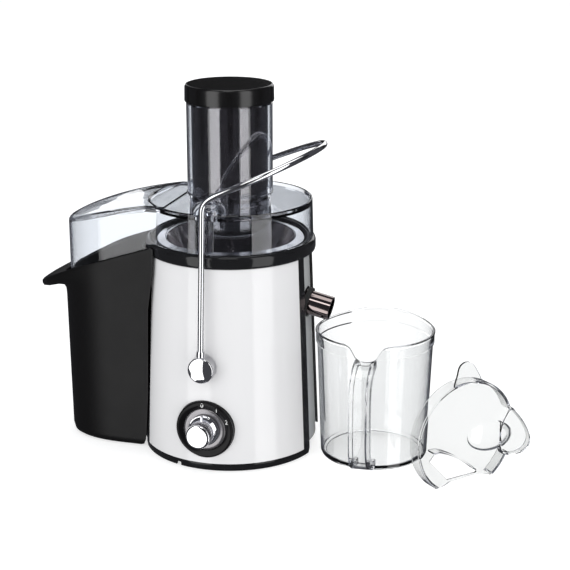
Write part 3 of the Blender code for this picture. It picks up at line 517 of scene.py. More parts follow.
top_ring = spun(
    "black_top_ring",
    [
        (RING_INNER, RING_LOW),
        (RING_OUTER - 0.0018, RING_LOW),
        (RING_OUTER - 0.0005, RING_LOW + 0.0010),
        (RING_OUTER, RING_LOW + 0.0030),
        (RING_OUTER, RING_HIGH - 0.0040),
        (RING_OUTER - 0.0006, RING_HIGH - 0.0018),
        (RING_OUTER - 0.0020, RING_HIGH - 0.0004),
        (RING_OUTER - 0.0032, RING_HIGH),
        (RING_INNER, RING_HIGH),
    ],
    steps=160,
)
softened(top_ring, 0.0003, 2, 50)
smoothed(top_ring, 50)
done(top_ring, black_gloss, "base", "black_gloss", "top_ring")

# Side cover: the silver-lacquered panel under the spout, set back from the black frame beside it.
# It is moulded in one piece, with a round hole for the spout's collar.

SIDE_RECESS = 0.0045
SIDE_FOOT = 0.0100
SIDE_START = -12.7
SIDE_END = 26.2
SPOUT_ROOT = Vector((0.0660, 0, 0.1570))
SPOUT_SLOPE = 13
SEAL_R = 0.0146
AT_SPOUT = AT_DRIVE @ Matrix.Translation(SPOUT_ROOT) @ Matrix.Rotation(radians(90 + SPOUT_SLOPE), 4, "Y")

silver_lacquer = surface("side_silver", (0.55, 0.56, 0.56), 0.24, 0.35, 0.06, 0.08, 1400, 0.00002)

side_cover = spun(
    "silver_side_cover",
    shell(SIDE_FOOT, BASE_HIGH_Z, SIDE_RECESS),
    steps=40,
    start=SIDE_START,
    sweep=SIDE_END - SIDE_START,
)
carved(side_cover, rod(SEAL_R + FIT_GAP, -0.002, 0.03, AT_SPOUT, 64))
softened(side_cover, 0.0004, 2)
smoothed(side_cover)
done(side_cover, silver_lacquer, "base", "silver_plastic", "side_cover")

# Rear cover: a half-round shell in satin black, with five cooling slots and the hole for the cord's gland.
# It is screwed to the base plate from below.

REAR_START = 26.5
REAR_END = 211.7
SLOT_LOW = 0.0500
SLOT_PITCH = 0.0060
SLOT_HEIGHT = 0.0030
SLOT_HALF_WIDTH = 0.0200
CORD_HOLE_Z = 0.0320
CORD_HOLE_R = 0.0070


def overlaid(material, mask_group, colour, **values):
    """Lays a second colour over a finish where a node group's mask says."""
    tree = material.node_tree
    base_colour = tree.nodes["Principled BSDF"].inputs["Base Color"]
    mask = placed(tree, mask_group, **values)
    mix = tree.nodes.new("ShaderNodeMix")
    mix.data_type = "RGBA"
    mix.inputs["B"].default_value = (*colour, 1)
    tree.links.new(mask.outputs["Mask"], mix.inputs["Factor"])
    tree.links.new(base_colour.links[0].from_socket, mix.inputs["A"])
    tree.links.new(mix.outputs["Result"], base_colour)


satin_black = surface(
    "satin_black", (0.005, 0.0047, 0.005), 0.40, drift=0.2, spread=0.10, grain_scale=1500, depth=0.00006
)
adjusted(satin_black, Specular_IOR_Level=0.22)
# Painted highlight: the convex edges of the satin black parts are lightened towards 0.05 grey.
overlaid(satin_black, edge_highlight_mask, (0.05, 0.05, 0.05), Start=0.53, Amount=0.6)

rear_cover = spun(
    "black_rear_cover",
    shell(SIDE_FOOT, BASE_HIGH_Z, 0),
    steps=186,
    start=REAR_START,
    sweep=REAR_END - REAR_START,
)
rear_tools = [
    rod(PIVOT_HOLE_R, -0.1, -0.07, front_axis(PIVOT_Z)),
    rod(CORD_HOLE_R, -0.1, -0.07, front_axis(CORD_HOLE_Z)),
]
for row in range(5):
    slot_low = SLOT_LOW + SLOT_PITCH * row
    slot_from = drive + Vector((-SLOT_HALF_WIDTH, 0.07, slot_low))
    slot_to = drive + Vector((SLOT_HALF_WIDTH, 0.1, slot_low + SLOT_HEIGHT))
    rear_tools.append(block("slot", slot_from, slot_to))
carved(rear_cover, *rear_tools)
softened(rear_cover, 0.0004, 2)
smoothed(rear_cover)
done(rear_cover, satin_black, "base", "black_satin", "rear_cover")

# Underside: a satin black base plate on four rubber feet, held by three screws, and the cord's rubber gland.
# These keep their drawn shapes. The cord itself goes out at the back and is not part of the set.

soft_rubber = surface(
    "foot_rubber", (0.028, 0.028, 0.028), 0.72, drift=0.3, spread=0.1, grain_scale=1100, depth=0.00008
)
adjusted(soft_rubber, Specular_IOR_Level=0.3)
oiled_iron = surface("oiled_iron", (0.16, 0.16, 0.17), 0.45, 0.9, 0.3, 0.2, 700, 0.00005)


def keeps_shape(material, *names):
    """Gives drawn nodes a finish and leaves their shape alone."""
    for name in names:
        slots = frame["nodes"][name].material_slots
        if not slots:
            frame["nodes"][name].data.materials.append(material)
        for slot_index in range(len(slots)):
            slots[slot_index].material = material


keeps_shape(satin_black, "base_plate", "deck", "fan", "drive_coupling", "speed_switch", "interlock_switch")
keeps_shape(soft_rubber, "foot_1", "foot_2", "foot_3", "foot_4", "cord_gland", "spout_seal", "shaft_seal")
keeps_shape(soft_rubber, "damper_1", "damper_2", "damper_3", "pivot_bush_front", "pivot_bush_rear")
keeps_shape(oiled_iron, "base_screw_1", "base_screw_2", "base_screw_3", "brush_left", "brush_right")

# Motor: laminated stator and armature, copper windings and commutator, two ball bearings in plate brackets.
# It hangs under the deck on three rubber dampers and is out of sight inside the covers.

plated_steel = surface("plated_steel", (0.72, 0.72, 0.73), 0.2, 1.0, 0.08, 0.1, 1200, 0.00001)
copper_wire = surface("copper_wire", (0.55, 0.20, 0.08), 0.38, 0.9, 0.2, 0.15, 1600, 0.00012)
keeps_shape(oiled_iron, "stator_core", "armature", "upper_bracket", "lower_bracket")
keeps_shape(copper_wire, "upper_winding", "lower_winding", "commutator")
keeps_shape(plated_steel, "motor_shaft", "upper_bearing", "lower_bearing", "tie_bolt_left", "tie_bolt_right")
keeps_shape(plated_steel, "knob_shaft")

# Dial: a black gloss bezel let into the panel round a satin silver ring, with two printed speed marks
# and an off mark. The numbers stand proud by a hair, as pad printing on a gloss face does.

BEZEL_R = 0.0290
BEZEL_FACE = 0.0912
BEZEL_BACK = 0.0820
DIAL_R = 0.0210
DIAL_FACE = 0.0902
SHAFT_ROOM_R = 0.0036
MARK_REACH = 0.0252
MARK_HEIGHT = 0.0044
SPEED_ANGLES = {"0": -4, "1": 31, "2": 66}

bezel_black = surface(
    "bezel_black", (0.006, 0.0055, 0.006), 0.14, drift=0.3, spread=0.05, grain_scale=300, depth=0.000005
)
adjusted(bezel_black, Specular_IOR_Level=0.15)
silver_dial = surface("dial_silver", (0.30, 0.29, 0.30), 0.30, 0.85, 0.05, 0.08, 1500, 0.00002)
print_white = surface("print_white", (0.82, 0.82, 0.80), 0.5, drift=0.05, spread=0.05)

bezel = spun(
    "dial_bezel",
    [
        (DIAL_R + FIT_GAP, BEZEL_BACK),
        (BEZEL_R, BEZEL_BACK),
        (BEZEL_R, BEZEL_FACE - 0.0024),
        (BEZEL_R - 0.0003, BEZEL_FACE - 0.0012),
        (BEZEL_R - 0.0010, BEZEL_FACE - 0.0003),
        (BEZEL_R - 0.0022, BEZEL_FACE),
        (DIAL_R + 0.0016, BEZEL_FACE - 0.0008),
        (DIAL_R + FIT_GAP, BEZEL_FACE - 0.0018),
    ],
    front_axis(DIAL_Z),
    144,
)
smoothed(bezel, 50)
done(bezel, bezel_black, "base", "black_gloss", "knob_bezel")

dial = spun(
    "dial_ring_plate",
    [
        (SHAFT_ROOM_R, BEZEL_BACK),
        (DIAL_R, BEZEL_BACK),
        (DIAL_R, DIAL_FACE - 0.0010),
        (DIAL_R - 0.0010, DIAL_FACE - 0.0002),
        (DIAL_R - 0.0030, DIAL_FACE),
        (DIAL_R - 0.0040, DIAL_FACE - 0.0003),
        (SHAFT_ROOM_R, DIAL_FACE - 0.0003),
    ],
    front_axis(DIAL_Z),
    144,
)
smoothed(dial, 50)
done(dial, silver_dial, "base", "silver_plastic", "dial_ring")

for figure, clockwise in SPEED_ANGLES.items():
    turn = radians(90 - clockwise)
    bpy.ops.object.select_all(action="DESELECT")
    bpy.ops.object.text_add(location=(0, 0, 0))
    mark = bpy.context.object
    mark.name = f"speed_mark_{figure}"
    mark.data.body = figure
    mark.data.size = MARK_HEIGHT * 1.4
    mark.data.align_x = "CENTER"
    mark.data.align_y = "CENTER"
    mark.data.extrude = 0.0001
    only(mark)
    bpy.ops.object.convert(target="MESH")
    spot = Vector((MARK_REACH * cos(turn), MARK_REACH * sin(turn), BEZEL_FACE - 0.0002))
    mark.data.transform(front_axis(DIAL_Z) @ Matrix.Translation(spot))
    closed_up(mark)
    done(mark, print_white, "base", "white_gloss")

# Knob: a chromed cap on a finger-wide skirt. Fine ridges run along the cap's side for grip, turned rings
# step down to the skirt, and a raised bar on the skirt points at the speed marks.

SKIRT_R = 0.0155
SKIRT_BACK = 0.0915
CAP_R = 0.0128
CAP_FACE = 0.1120
RIDGES = 72
RIDGE_RADIUS = 0.00028
POINTER_HALF_WIDTH = 0.0011

chrome = surface("bright_chrome", (0.86, 0.86, 0.87), 0.05, 1.0, 0.02, 0.03, 200, 0.000004)

knob_outline = [(0, SKIRT_BACK), (SKIRT_R, SKIRT_BACK), (SKIRT_R, SKIRT_BACK + 0.0012)]
knob_outline += [(SKIRT_R - 0.0004, SKIRT_BACK + 0.0018), (SKIRT_R - 0.0012, SKIRT_BACK + 0.0020)]
for ring in range(3):
    ring_r = SKIRT_R - 0.0014 - 0.0006 * ring
    ring_back = SKIRT_BACK + 0.0024 + 0.0007 * ring
    knob_outline += [(ring_r, ring_back), (ring_r - 0.0003, ring_back + 0.0003)]
knob_outline += [
    (CAP_R - 0.0004, SKIRT_BACK + 0.0052),
    (CAP_R - 0.0006, CAP_FACE - 0.0022),
    (CAP_R - 0.0009, CAP_FACE - 0.0012),
    (CAP_R - 0.0017, CAP_FACE - 0.0005),
    (CAP_R - 0.0030, CAP_FACE - 0.0002),
    (0, CAP_FACE),
]
knob = spun("chrome_knob", knob_outline, front_axis(DIAL_Z), 144)
smoothed(knob, 30)
done(knob, chrome, "speed_knob", "chrome_plate", "knob")


def joined(pieces, name):
    """Makes one piece of several."""
    only(pieces[0])
    for piece in pieces:
        piece.select_set(True)
    bpy.ops.object.join()
    whole = bpy.context.object
    whole.name = name
    return whole


ridges = []
for number in range(RIDGES):
    turn = 2 * pi * number / RIDGES
    spot = Matrix.Translation(((CAP_R - 0.0006) * cos(turn), (CAP_R - 0.0006) * sin(turn), 0))
    bpy.ops.object.select_all(action="DESELECT")
    bpy.ops.mesh.primitive_cylinder_add(vertices=8, radius=RIDGE_RADIUS, depth=CAP_FACE - SKIRT_BACK - 0.0086)
    ridge = bpy.context.object
    ridge.data.transform(spot @ Matrix.Translation((0, 0, (CAP_FACE + SKIRT_BACK) / 2 + 0.0016)))
    ridges.append(ridge)
knob_ridges = joined(ridges, "knob_grip_ridges")
knob_ridges.data.transform(front_axis(DIAL_Z))
smoothed(knob_ridges, 50)
done(knob_ridges, chrome, "speed_knob", "chrome_plate")

pointer = block(
    "knob_pointer",
    (-POINTER_HALF_WIDTH, CAP_R - 0.0010, SKIRT_BACK + 0.0016),
    (POINTER_HALF_WIDTH, SKIRT_R - 0.0003, SKIRT_BACK + 0.0042),
)
softened(pointer, 0.0004, 2)
pointer.data.transform(front_axis(DIAL_Z) @ Matrix.Rotation(radians(-SPEED_ANGLES["0"]), 4, "Z"))
smoothed(pointer)
done(pointer, chrome, "speed_knob", "chrome_plate")

# Locking arm: one chromed steel rod bent into a loop that passes behind the feed tube's right side.
# Each leg ends in a short sleeve at a domed chrome cap, which turns on a pin through the panel.

CAP_PIVOT_R = 0.0128
CAP_PIVOT_BACK = 0.0872
CAP_PIVOT_FACE = 0.1015
CAP_PIVOT_EDGE = 0.0016
CAPS = (("front_pivot_cap", 0, "pivot_cap_front"), ("rear_pivot_cap", 180, "pivot_cap_rear"))
PIN_R = 0.0050
PIN_END = 0.0760
ROD_R = 0.0029
LEG_FOOT_Y = 0.0975
BEND_Y = 0.0860
BEND_Z = 0.2705
BEND_R = 0.0100
LOOP_REACH = 0.0930
LOOP_RISE = 0.0400
SLEEVE_R = 0.0040
SLEEVE_LENGTH = 0.0060

for name, side, node in CAPS:
    outline = [
        (0, PIN_END),
        (PIN_R, PIN_END),
        (PIN_R, CAP_PIVOT_BACK),
        (CAP_PIVOT_R - 0.0004, CAP_PIVOT_BACK),
        (CAP_PIVOT_R, CAP_PIVOT_BACK + 0.0005),
        (CAP_PIVOT_R, CAP_PIVOT_FACE - 0.0030),
    ]
    flat_r = CAP_PIVOT_R - CAP_PIVOT_EDGE
    for turn in (22, 45, 67, 90):
        out = CAP_PIVOT_EDGE * cos(radians(turn))
        up = CAP_PIVOT_EDGE * sin(radians(turn))
        outline.append((flat_r + out, CAP_PIVOT_FACE - 0.0030 + up))
    outline += [(share * flat_r, CAP_PIVOT_FACE - 0.0014 * share**2) for share in (0.8, 0.6, 0.4, 0.2, 0)]
    turned_round = AT_DRIVE @ Matrix.Rotation(radians(side), 4, "Z")
    turned_round = turned_round @ Matrix.Translation((0, 0, PIVOT_Z)) @ FACING_FRONT
    cap = spun(name, outline, turned_round, 96)
    smoothed(cap, 40)
    done(cap, chrome, "arm", "chrome_plate", node)


def arm_route():
    """The rod's centre line: up the front leg, round the loop and down the rear leg."""
    foot = Vector((0, -LEG_FOOT_Y, PIVOT_Z + CAP_PIVOT_R + 2 * FIT_GAP))
    bend = Vector((0, -BEND_Y, BEND_Z))
    up = (bend - foot).normalized()
    loop = []
    for step in range(1, 64):
        turn = pi * step / 64
        loop.append(Vector((LOOP_REACH * sin(turn), -BEND_Y * cos(turn), BEND_Z + LOOP_RISE * sin(turn))))
    loop = [point for point in loop if (point - bend).length > BEND_R and (point - loop[-1]).length > BEND_R]
    start = bend - up * BEND_R
    leg = [foot, foot.lerp(start, 0.5), start]
    for step in range(1, 8):
        share = step / 8
        leg.append((1 - share) ** 2 * start + 2 * share * (1 - share) * bend + share**2 * loop[0])
    rear = [Vector((point.x, -point.y, point.z)) for point in reversed(leg)]
    return leg + loop + rear


arm_line = bpy.data.curves.new("arm_line", "CURVE")
arm_line.dimensions = "3D"
arm_line.bevel_depth = ROD_R
arm_line.bevel_resolution = 6
arm_line.use_fill_caps = True
arm_spline = arm_line.splines.new("POLY")
route = arm_route()
arm_spline.points.add(len(route) - 1)
for point, spot in zip(arm_spline.points, route):
    point.co = (*(drive + spot), 1)
arm = bpy.data.objects.new("chrome_arm_rod", arm_line)
bpy.context.scene.collection.objects.link(arm)
only(arm)
bpy.ops.object.convert(target="MESH")
arm = bpy.context.object
closed_up(arm)
smoothed(arm, 50)
done(arm, chrome, "arm", "chrome_plate", "locking_arm")

for name, side in (("front_arm_sleeve", -1), ("rear_arm_sleeve", 1)):
    foot = Vector((0, side * LEG_FOOT_Y, PIVOT_Z + CAP_PIVOT_R + 2 * FIT_GAP))
    up = Vector((0, side * BEND_Y, BEND_Z)) - foot
    standing = Matrix.Translation(drive + foot) @ up.to_track_quat("Z", "Y").to_matrix().to_4x4()
    outline = [(ROD_R - 0.0002, 0), (SLEEVE_R, 0), (SLEEVE_R, SLEEVE_LENGTH - 0.0012)]
    outline += [(SLEEVE_R - 0.0006, SLEEVE_LENGTH), (ROD_R - 0.0002, SLEEVE_LENGTH)]
    sleeve = spun(name, outline, standing, 48)
    smoothed(sleeve, 40)
    done(sleeve, chrome, "arm", "chrome_plate")

# Juice spout: a smoked-chrome tube that slopes down from the bowl through a rubber collar in the side cover.
# Its end is cut on a slant.

SPOUT_R = 0.0120
SPOUT_BORE_R = 0.0100
SPOUT_START = 0.0035
SPOUT_LENGTH = 0.0385
SLANT_X = 0.1040
SLANT_Z = 0.1400
SLANT_LEAN = 9

smoked_chrome = surface("smoked_chrome", (0.30, 0.25, 0.24), 0.07, 1.0, 0.10, 0.05, 400, 0.00001)

spout = spun(
    "smoked_spout",
    [
        (SPOUT_BORE_R, SPOUT_START),
        (SPOUT_R, SPOUT_START),
        (SPOUT_R, SPOUT_LENGTH),
        (SPOUT_BORE_R, SPOUT_LENGTH),
    ],
    AT_SPOUT,
    96,
)
slanted = block("slant", (0, -0.03, -0.05), (0.03, 0.03, 0.05))
slant_place = AT_DRIVE @ Matrix.Translation((SLANT_X, 0, SLANT_Z))
slanted.data.transform(slant_place @ Matrix.Rotation(radians(SLANT_LEAN), 4, "Y"))
carved(spout, slanted)
softened(spout, 0.0004, 2, 50)
smoothed(spout)
done(spout, smoked_chrome, "base", "smoked_chrome", "juice_spout")

# Juice bowl: a satin black bowl that drops into the top ring and catches what the basket throws out.
# Its collar widens under the ring's top, and a low wall round the middle keeps juice off the drive.

BOWL_R = 0.0740
BOWL_FLOOR = 0.1380
BOWL_COLLAR_R = 0.0788
BOWL_WALL = 0.0018

bowl = spun(
    "black_juice_bowl",
    [
        (0.0160, BOWL_FLOOR),
        (BOWL_R - 0.0050, BOWL_FLOOR),
        (BOWL_R - 0.0015, BOWL_FLOOR + 0.0015),
        (BOWL_R, BOWL_FLOOR + 0.0050),
        (BOWL_R, 0.2036),
        (BOWL_COLLAR_R, 0.2064),
        (BOWL_COLLAR_R, RING_HIGH - 0.0006),
        (BOWL_COLLAR_R - 0.0006, RING_HIGH),
        (BOWL_COLLAR_R - BOWL_WALL, RING_HIGH),
        (BOWL_COLLAR_R - BOWL_WALL, 0.2078),
        (BOWL_R - BOWL_WALL, 0.2050),
        (BOWL_R - BOWL_WALL, BOWL_FLOOR + 0.0060),
        (BOWL_R - 0.0060, BOWL_FLOOR + 0.0022),
        (0.0185, BOWL_FLOOR + 0.0022),
        (0.0175, 0.1700),
        (0.0160, 0.1700),
    ],
    steps=144,
)
carved(bowl, rod(SPOUT_R + FIT_GAP, -0.002, 0.03, AT_SPOUT, 64))
smoothed(bowl)
done(bowl, satin_black, "base", "black_satin", "juice_bowl")

# Filter basket: pressed and laser-perforated stainless sheet with a rolled rim and a broad polished flange.
# A grater disc with rows of pressed teeth is welded to its floor, and one nut holds it on the drive.

BASKET_TOP = 0.2160
BASKET_RIM_R = 0.0740
BASKET_MOUTH_R = 0.0648
BASKET_FLOOR_R = 0.0440
BASKET_FLOOR = 0.1800
HUB_ROOM_R = 0.0129
NUT_R = 0.0160
NUT_LOW = 0.1863
NUT_TOP = 0.1898
TOOTH_ROWS = ((0.0200, 14), (0.0245, 18), (0.0290, 22), (0.0335, 26), (0.0380, 30))
TOOTH_R = 0.0009
TOOTH_TIP_R = 0.0002
TOOTH_HEIGHT = 0.0013
HOLE_PITCH_ROUND = 300
HOLE_PITCH_UP = 620

basket_steel = surface("basket_steel", (0.80, 0.80, 0.81), 0.14, 1.0, 0.03, 0.06, 900, 0.00001)

# Fine holes in staggered rows round a cone, drawn in angle and height about the drive axis.
holes, ends_in, ends_out = effect("staggered_holes", {"Round": 300.0, "Up": 620.0, "Size": 0.35}, "Mask")
hole_place = holes.nodes.new("ShaderNodeTexCoord")
centre_on_drive = holes.nodes.new("ShaderNodeMapping")
centre_on_drive.inputs["Location"].default_value = -drive
parts = holes.nodes.new("ShaderNodeSeparateXYZ")
holes.links.new(hole_place.outputs["Object"], centre_on_drive.inputs["Vector"])
holes.links.new(centre_on_drive.outputs["Vector"], parts.inputs["Vector"])
angle = math_node(holes, "ARCTAN2", parts.outputs["Y"], parts.outputs["X"])
columns = math_node(holes, "MULTIPLY", math_node(holes, "DIVIDE", angle, 2 * pi), ends_in.outputs["Round"])
rows = math_node(holes, "MULTIPLY", parts.outputs["Z"], ends_in.outputs["Up"])
row_number = math_node(holes, "FLOOR", rows, 0.0)
columns = math_node(holes, "ADD", columns, math_node(holes, "MULTIPLY", row_number, 0.5))
across = math_node(holes, "SUBTRACT", math_node(holes, "FRACT", columns, 0.0), 0.5)
upward = math_node(holes, "SUBTRACT", math_node(holes, "FRACT", rows, 0.0), 0.5)
square_across = math_node(holes, "MULTIPLY", across, across)
square_up = math_node(holes, "MULTIPLY", upward, upward)
reach = math_node(holes, "SQRT", math_node(holes, "ADD", square_across, square_up), 0.0)
holes.links.new(math_node(holes, "LESS_THAN", reach, ends_in.outputs["Size"]), ends_out.inputs["Mask"])

filter_mesh = surface("filter_mesh", (0.66, 0.60, 0.59), 0.13, 1.0, 0.15, 0.06, 300, 0.000006)
overlaid(filter_mesh, holes, (0.02, 0.018, 0.017), Round=HOLE_PITCH_ROUND, Up=HOLE_PITCH_UP, Size=0.30)

basket_flange = spun(
    "basket_flange",
    [
        (BASKET_MOUTH_R + 0.0003, BASKET_TOP - 0.0016),
        (BASKET_RIM_R - 0.0010, BASKET_TOP - 0.0026),
        (BASKET_RIM_R - 0.0002, BASKET_TOP - 0.0030),
        (BASKET_RIM_R, BASKET_TOP - 0.0022),
        (BASKET_RIM_R - 0.0004, BASKET_TOP - 0.0012),
        (BASKET_RIM_R - 0.0014, BASKET_TOP - 0.0010),
        (BASKET_MOUTH_R + 0.0008, BASKET_TOP - 0.0001),
        (BASKET_MOUTH_R, BASKET_TOP),
        (BASKET_MOUTH_R - 0.0006, BASKET_TOP - 0.0006),
    ],
    steps=160,
)
smoothed(basket_flange, 60)
done(basket_flange, basket_steel, "spinner", "bright_steel")

basket_cone = spun(
    "basket_filter_cone",
    [
        (BASKET_FLOOR_R - 0.0040, BASKET_FLOOR),
        (BASKET_FLOOR_R + 0.0010, BASKET_FLOOR),
        (BASKET_MOUTH_R + 0.0003, BASKET_TOP - 0.0017),
        (BASKET_MOUTH_R - 0.0006, BASKET_TOP - 0.0012),
        (BASKET_FLOOR_R, BASKET_FLOOR + 0.0015),
        (BASKET_FLOOR_R - 0.0040, BASKET_FLOOR + 0.0015),
    ],
    steps=160,
)
smoothed(basket_cone, 30)
done(basket_cone, filter_mesh, "spinner", "bright_steel", "filter_basket")

basket_floor = spun(
    "basket_floor_plate",
    [
        (HUB_ROOM_R, BASKET_FLOOR),
        (BASKET_FLOOR_R - 0.0041, BASKET_FLOOR),
        (BASKET_FLOOR_R - 0.0041, BASKET_FLOOR + 0.0015),
        (HUB_ROOM_R, BASKET_FLOOR + 0.0015),
    ],
    steps=120,
)
smoothed(basket_floor)
done(basket_floor, basket_steel, "spinner", "bright_steel")

grater_top = BASKET_FLOOR + 0.0033
grater = spun(
    "grater_plate",
    [
        (HUB_ROOM_R, grater_top - 0.0012),
        (BASKET_FLOOR_R - 0.0018, grater_top - 0.0012),
        (BASKET_FLOOR_R - 0.0016, grater_top - 0.0004),
        (BASKET_FLOOR_R - 0.0022, grater_top),
        (HUB_ROOM_R, grater_top),
    ],
    steps=120,
)
smoothed(grater)
done(grater, basket_steel, "spinner", "bright_steel", "grater_disc")

teeth = []
for row_r, count in TOOTH_ROWS:
    for number in range(count):
        bpy.ops.object.select_all(action="DESELECT")
        bpy.ops.mesh.primitive_cone_add(vertices=4, radius1=TOOTH_R, radius2=TOOTH_TIP_R, depth=TOOTH_HEIGHT)
        tooth = bpy.context.object
        turned_to = Matrix.Rotation(2 * pi * (number + 0.5 * (row_r > 0.03)) / count, 4, "Z")
        raised = grater_top + TOOTH_HEIGHT / 2 - 0.0001
        tooth.data.transform(AT_DRIVE @ turned_to @ Matrix.Translation((row_r, 0, raised)))
        teeth.append(tooth)
grater_teeth = joined(teeth, "grater_teeth")
done(grater_teeth, basket_steel, "spinner", "bright_steel")

nut = spun(
    "basket_hub_nut",
    [
        (0, NUT_LOW),
        (NUT_R, NUT_LOW),
        (NUT_R - 0.0003, NUT_LOW + 0.0009),
        (NUT_R - 0.0012, NUT_LOW + 0.0017),
        (NUT_R / 2, NUT_TOP - 0.0003),
        (NUT_R / 4, NUT_TOP),
        (0, NUT_TOP),
    ],
    steps=72,
)
smoothed(nut, 50)
done(nut, basket_steel, "spinner", "bright_steel", "basket_nut")

# Lid: one clear styrene moulding. A round cover with a rolled rim carries two hollow bosses, which the arm
# presses on, the wide feed tube, and the hood that leads pulp out over the container.

LID_R = 0.0822
LID_LOW = 0.2172
LID_TOP = 0.2522
LID_RIM = 0.2558
LID_WALL = 0.0022
TUBE_R = 0.0420
TUBE_BORE_R = 0.0398
TUBE_TOP = 0.3500
THROAT_R = 0.0402
THROAT_BORE_R = 0.0383
THROAT_LOW = 0.1925
HOOD_END = -0.1665
HOOD_HALF_WIDTH = 0.0590
HOOD_ROOT = -0.0500
HOOD_CLEARANCE_R = 0.0893
HOOD_SKIRT_DEPTH = 0.0040
HOOD_SHOULDER = 0.0048
BOSS_R = 0.0165
BOSS_Y = 0.0671
BOSS_LOW = 0.2180
BOSS_ROOM_LOW = 0.1950
BOSS_TOP = 0.2670
CONTAINER_RIM_Z = 0.2100
CONTAINER_RIM_X = -0.0740
CONTAINER_RIM_SLOPE = 0.325
TONGUE_CORNER = 0.068
TONGUE_ROUNDNESS = 2.4


def clear_moulding(name, tint, wave):
    """Clear plastic with a slight tint, a flow ripple, and lamps let through to what is behind it."""
    made = bpy.data.materials.new(name)
    made.use_nodes = True
    tree = made.node_tree
    shader = tree.nodes["Principled BSDF"]
    shader.inputs["Transmission Weight"].default_value = 1
    shader.inputs["IOR"].default_value = 1.50
    colours = placed(tree, clouded, Colour=(*tint, 1), Drift=0.03, Scale=14)
    tree.links.new(colours.outputs["Colour"], shader.inputs["Base Color"])
    polish = placed(tree, uneven, Level=0.012, Spread=0.02, Scale=30)
    tree.links.new(polish.outputs["Value"], shader.inputs["Roughness"])
    flow = placed(tree, grain, Scale=18, Ripple=1)
    bumped(tree, shader, flow.outputs["Height"], wave, 0.35)
    path_of_ray = tree.nodes.new("ShaderNodeLightPath")
    window = tree.nodes.new("ShaderNodeBsdfTransparent")
    window.inputs["Color"].default_value = (*[channel**0.5 for channel in tint], 1)
    let_through = path_of_ray.outputs["Is Shadow Ray"]
    seen_through = either(tree, let_through, shader.outputs["BSDF"], window.outputs["BSDF"])
    tree.links.new(seen_through, tree.nodes["Material Output"].inputs["Surface"])
    return made


clear_lid = clear_moulding("clear_styrene", (0.895, 0.915, 0.945), 0.0006)


def formed(name, columns, rows, rule, place=AT_DRIVE):
    """A grid bent to a rule of (across, along), each from 0 to 1, with its seam and ends merged."""
    bpy.ops.object.select_all(action="DESELECT")
    bpy.ops.mesh.primitive_grid_add(x_subdivisions=columns, y_subdivisions=rows, size=1)
    piece = bpy.context.object
    piece.name = name
    for vertex in piece.data.vertices:
        vertex.co = rule(vertex.co.x + 0.5, vertex.co.y + 0.5)
    closed_up(piece)
    piece.data.transform(place)
    return piece


def tongue_point(share, end_x, half_width, root_x):
    """A point round a tongue's outline, from its near root round the far end to its other root."""
    straight = 0.22
    if share < straight or share > 1 - straight:
        along = min(share, 1 - share) / straight
        x = root_x + (end_x + TONGUE_CORNER - root_x) * along
        return x, half_width * (-1 if share < 0.5 else 1)
    turn = pi * (share - straight) / (1 - 2 * straight)
    across = abs(cos(turn)) ** (2 / TONGUE_ROUNDNESS) * (-1 if share < 0.5 else 1)
    out = abs(sin(turn)) ** (2 / TONGUE_ROUNDNESS)
    corner_x = end_x + TONGUE_CORNER
    return corner_x + (end_x - corner_x) * out, half_width * across


def hood_top(x):
    """Height of the hood's top, which falls away towards its end."""
    run = max(0, -0.069 - x)
    return 0.2546 - 0.16 * run - 0.9 * run * run


def container_rim(x):
    """Height of the pulp container's rim, which falls away towards its end."""
    return CONTAINER_RIM_Z + CONTAINER_RIM_SLOPE * min(x - CONTAINER_RIM_X, 0.012)


def hood_form(name, inset, roof):
    """The hood as a solid: a wall up from the skirt, a rounded shoulder and a top ruled across."""
    drop = HOOD_SKIRT_DEPTH + 2 * roof
    insets = [0] + [HOOD_SHOULDER * (1 - cos(radians(turn))) for turn in (0, 22, 45, 67, 90)]
    drops = [HOOD_SHOULDER * (1 - sin(radians(turn))) for turn in (0, 22, 45, 67, 90)]
    levels = len(insets)
    narrowing = (1, 0.66, 0.33, 0)
    rows = len(narrowing) + levels + len(narrowing) - 2

    def rule(across, along):
        row = round(along * rows)
        wall_row = min(max(row - len(narrowing) + 1, 0), levels - 1)
        pull = inset + insets[wall_row]
        x, y = tongue_point(across, HOOD_END + pull, HOOD_HALF_WIDTH - pull * 0.8, HOOD_ROOT)
        if wall_row == 0:
            height = container_rim(x) - drop
        else:
            height = hood_top(x) - roof - drops[wall_row - 1]
        if row < len(narrowing):
            y *= 1 - narrowing[row]
        if row > rows - len(narrowing):
            y *= narrowing[row - rows + len(narrowing) - 1]
        return Vector((x, y, height))

    return formed(name, 96, rows, rule)


lid = spun(
    "clear_lid",
    [
        (0, LID_LOW),
        (LID_R - 0.0006, LID_LOW),
        (LID_R, LID_LOW + 0.0006),
        (LID_R - 0.0010, LID_RIM - 0.0016),
        (LID_R - 0.0014, LID_RIM - 0.0006),
        (LID_R - 0.0022, LID_RIM),
        (LID_R - 0.0032, LID_RIM - 0.0006),
        (LID_R - 0.0040, LID_TOP),
        (0, LID_TOP),
    ],
    steps=160,
)


def boss_of(side, radius, low, shoulder, dome, out, step, steps):
    """The upright on one side: a round post with a domed top, to join or to cut with."""
    outline = [(0, low), (radius, low)]
    for turn in range(0, 91, step):
        outline.append((radius * cos(radians(turn)), shoulder + dome * sin(radians(turn))))
    return spun("boss", outline, AT_DRIVE @ Matrix.Translation((0, side * out, 0)), steps)


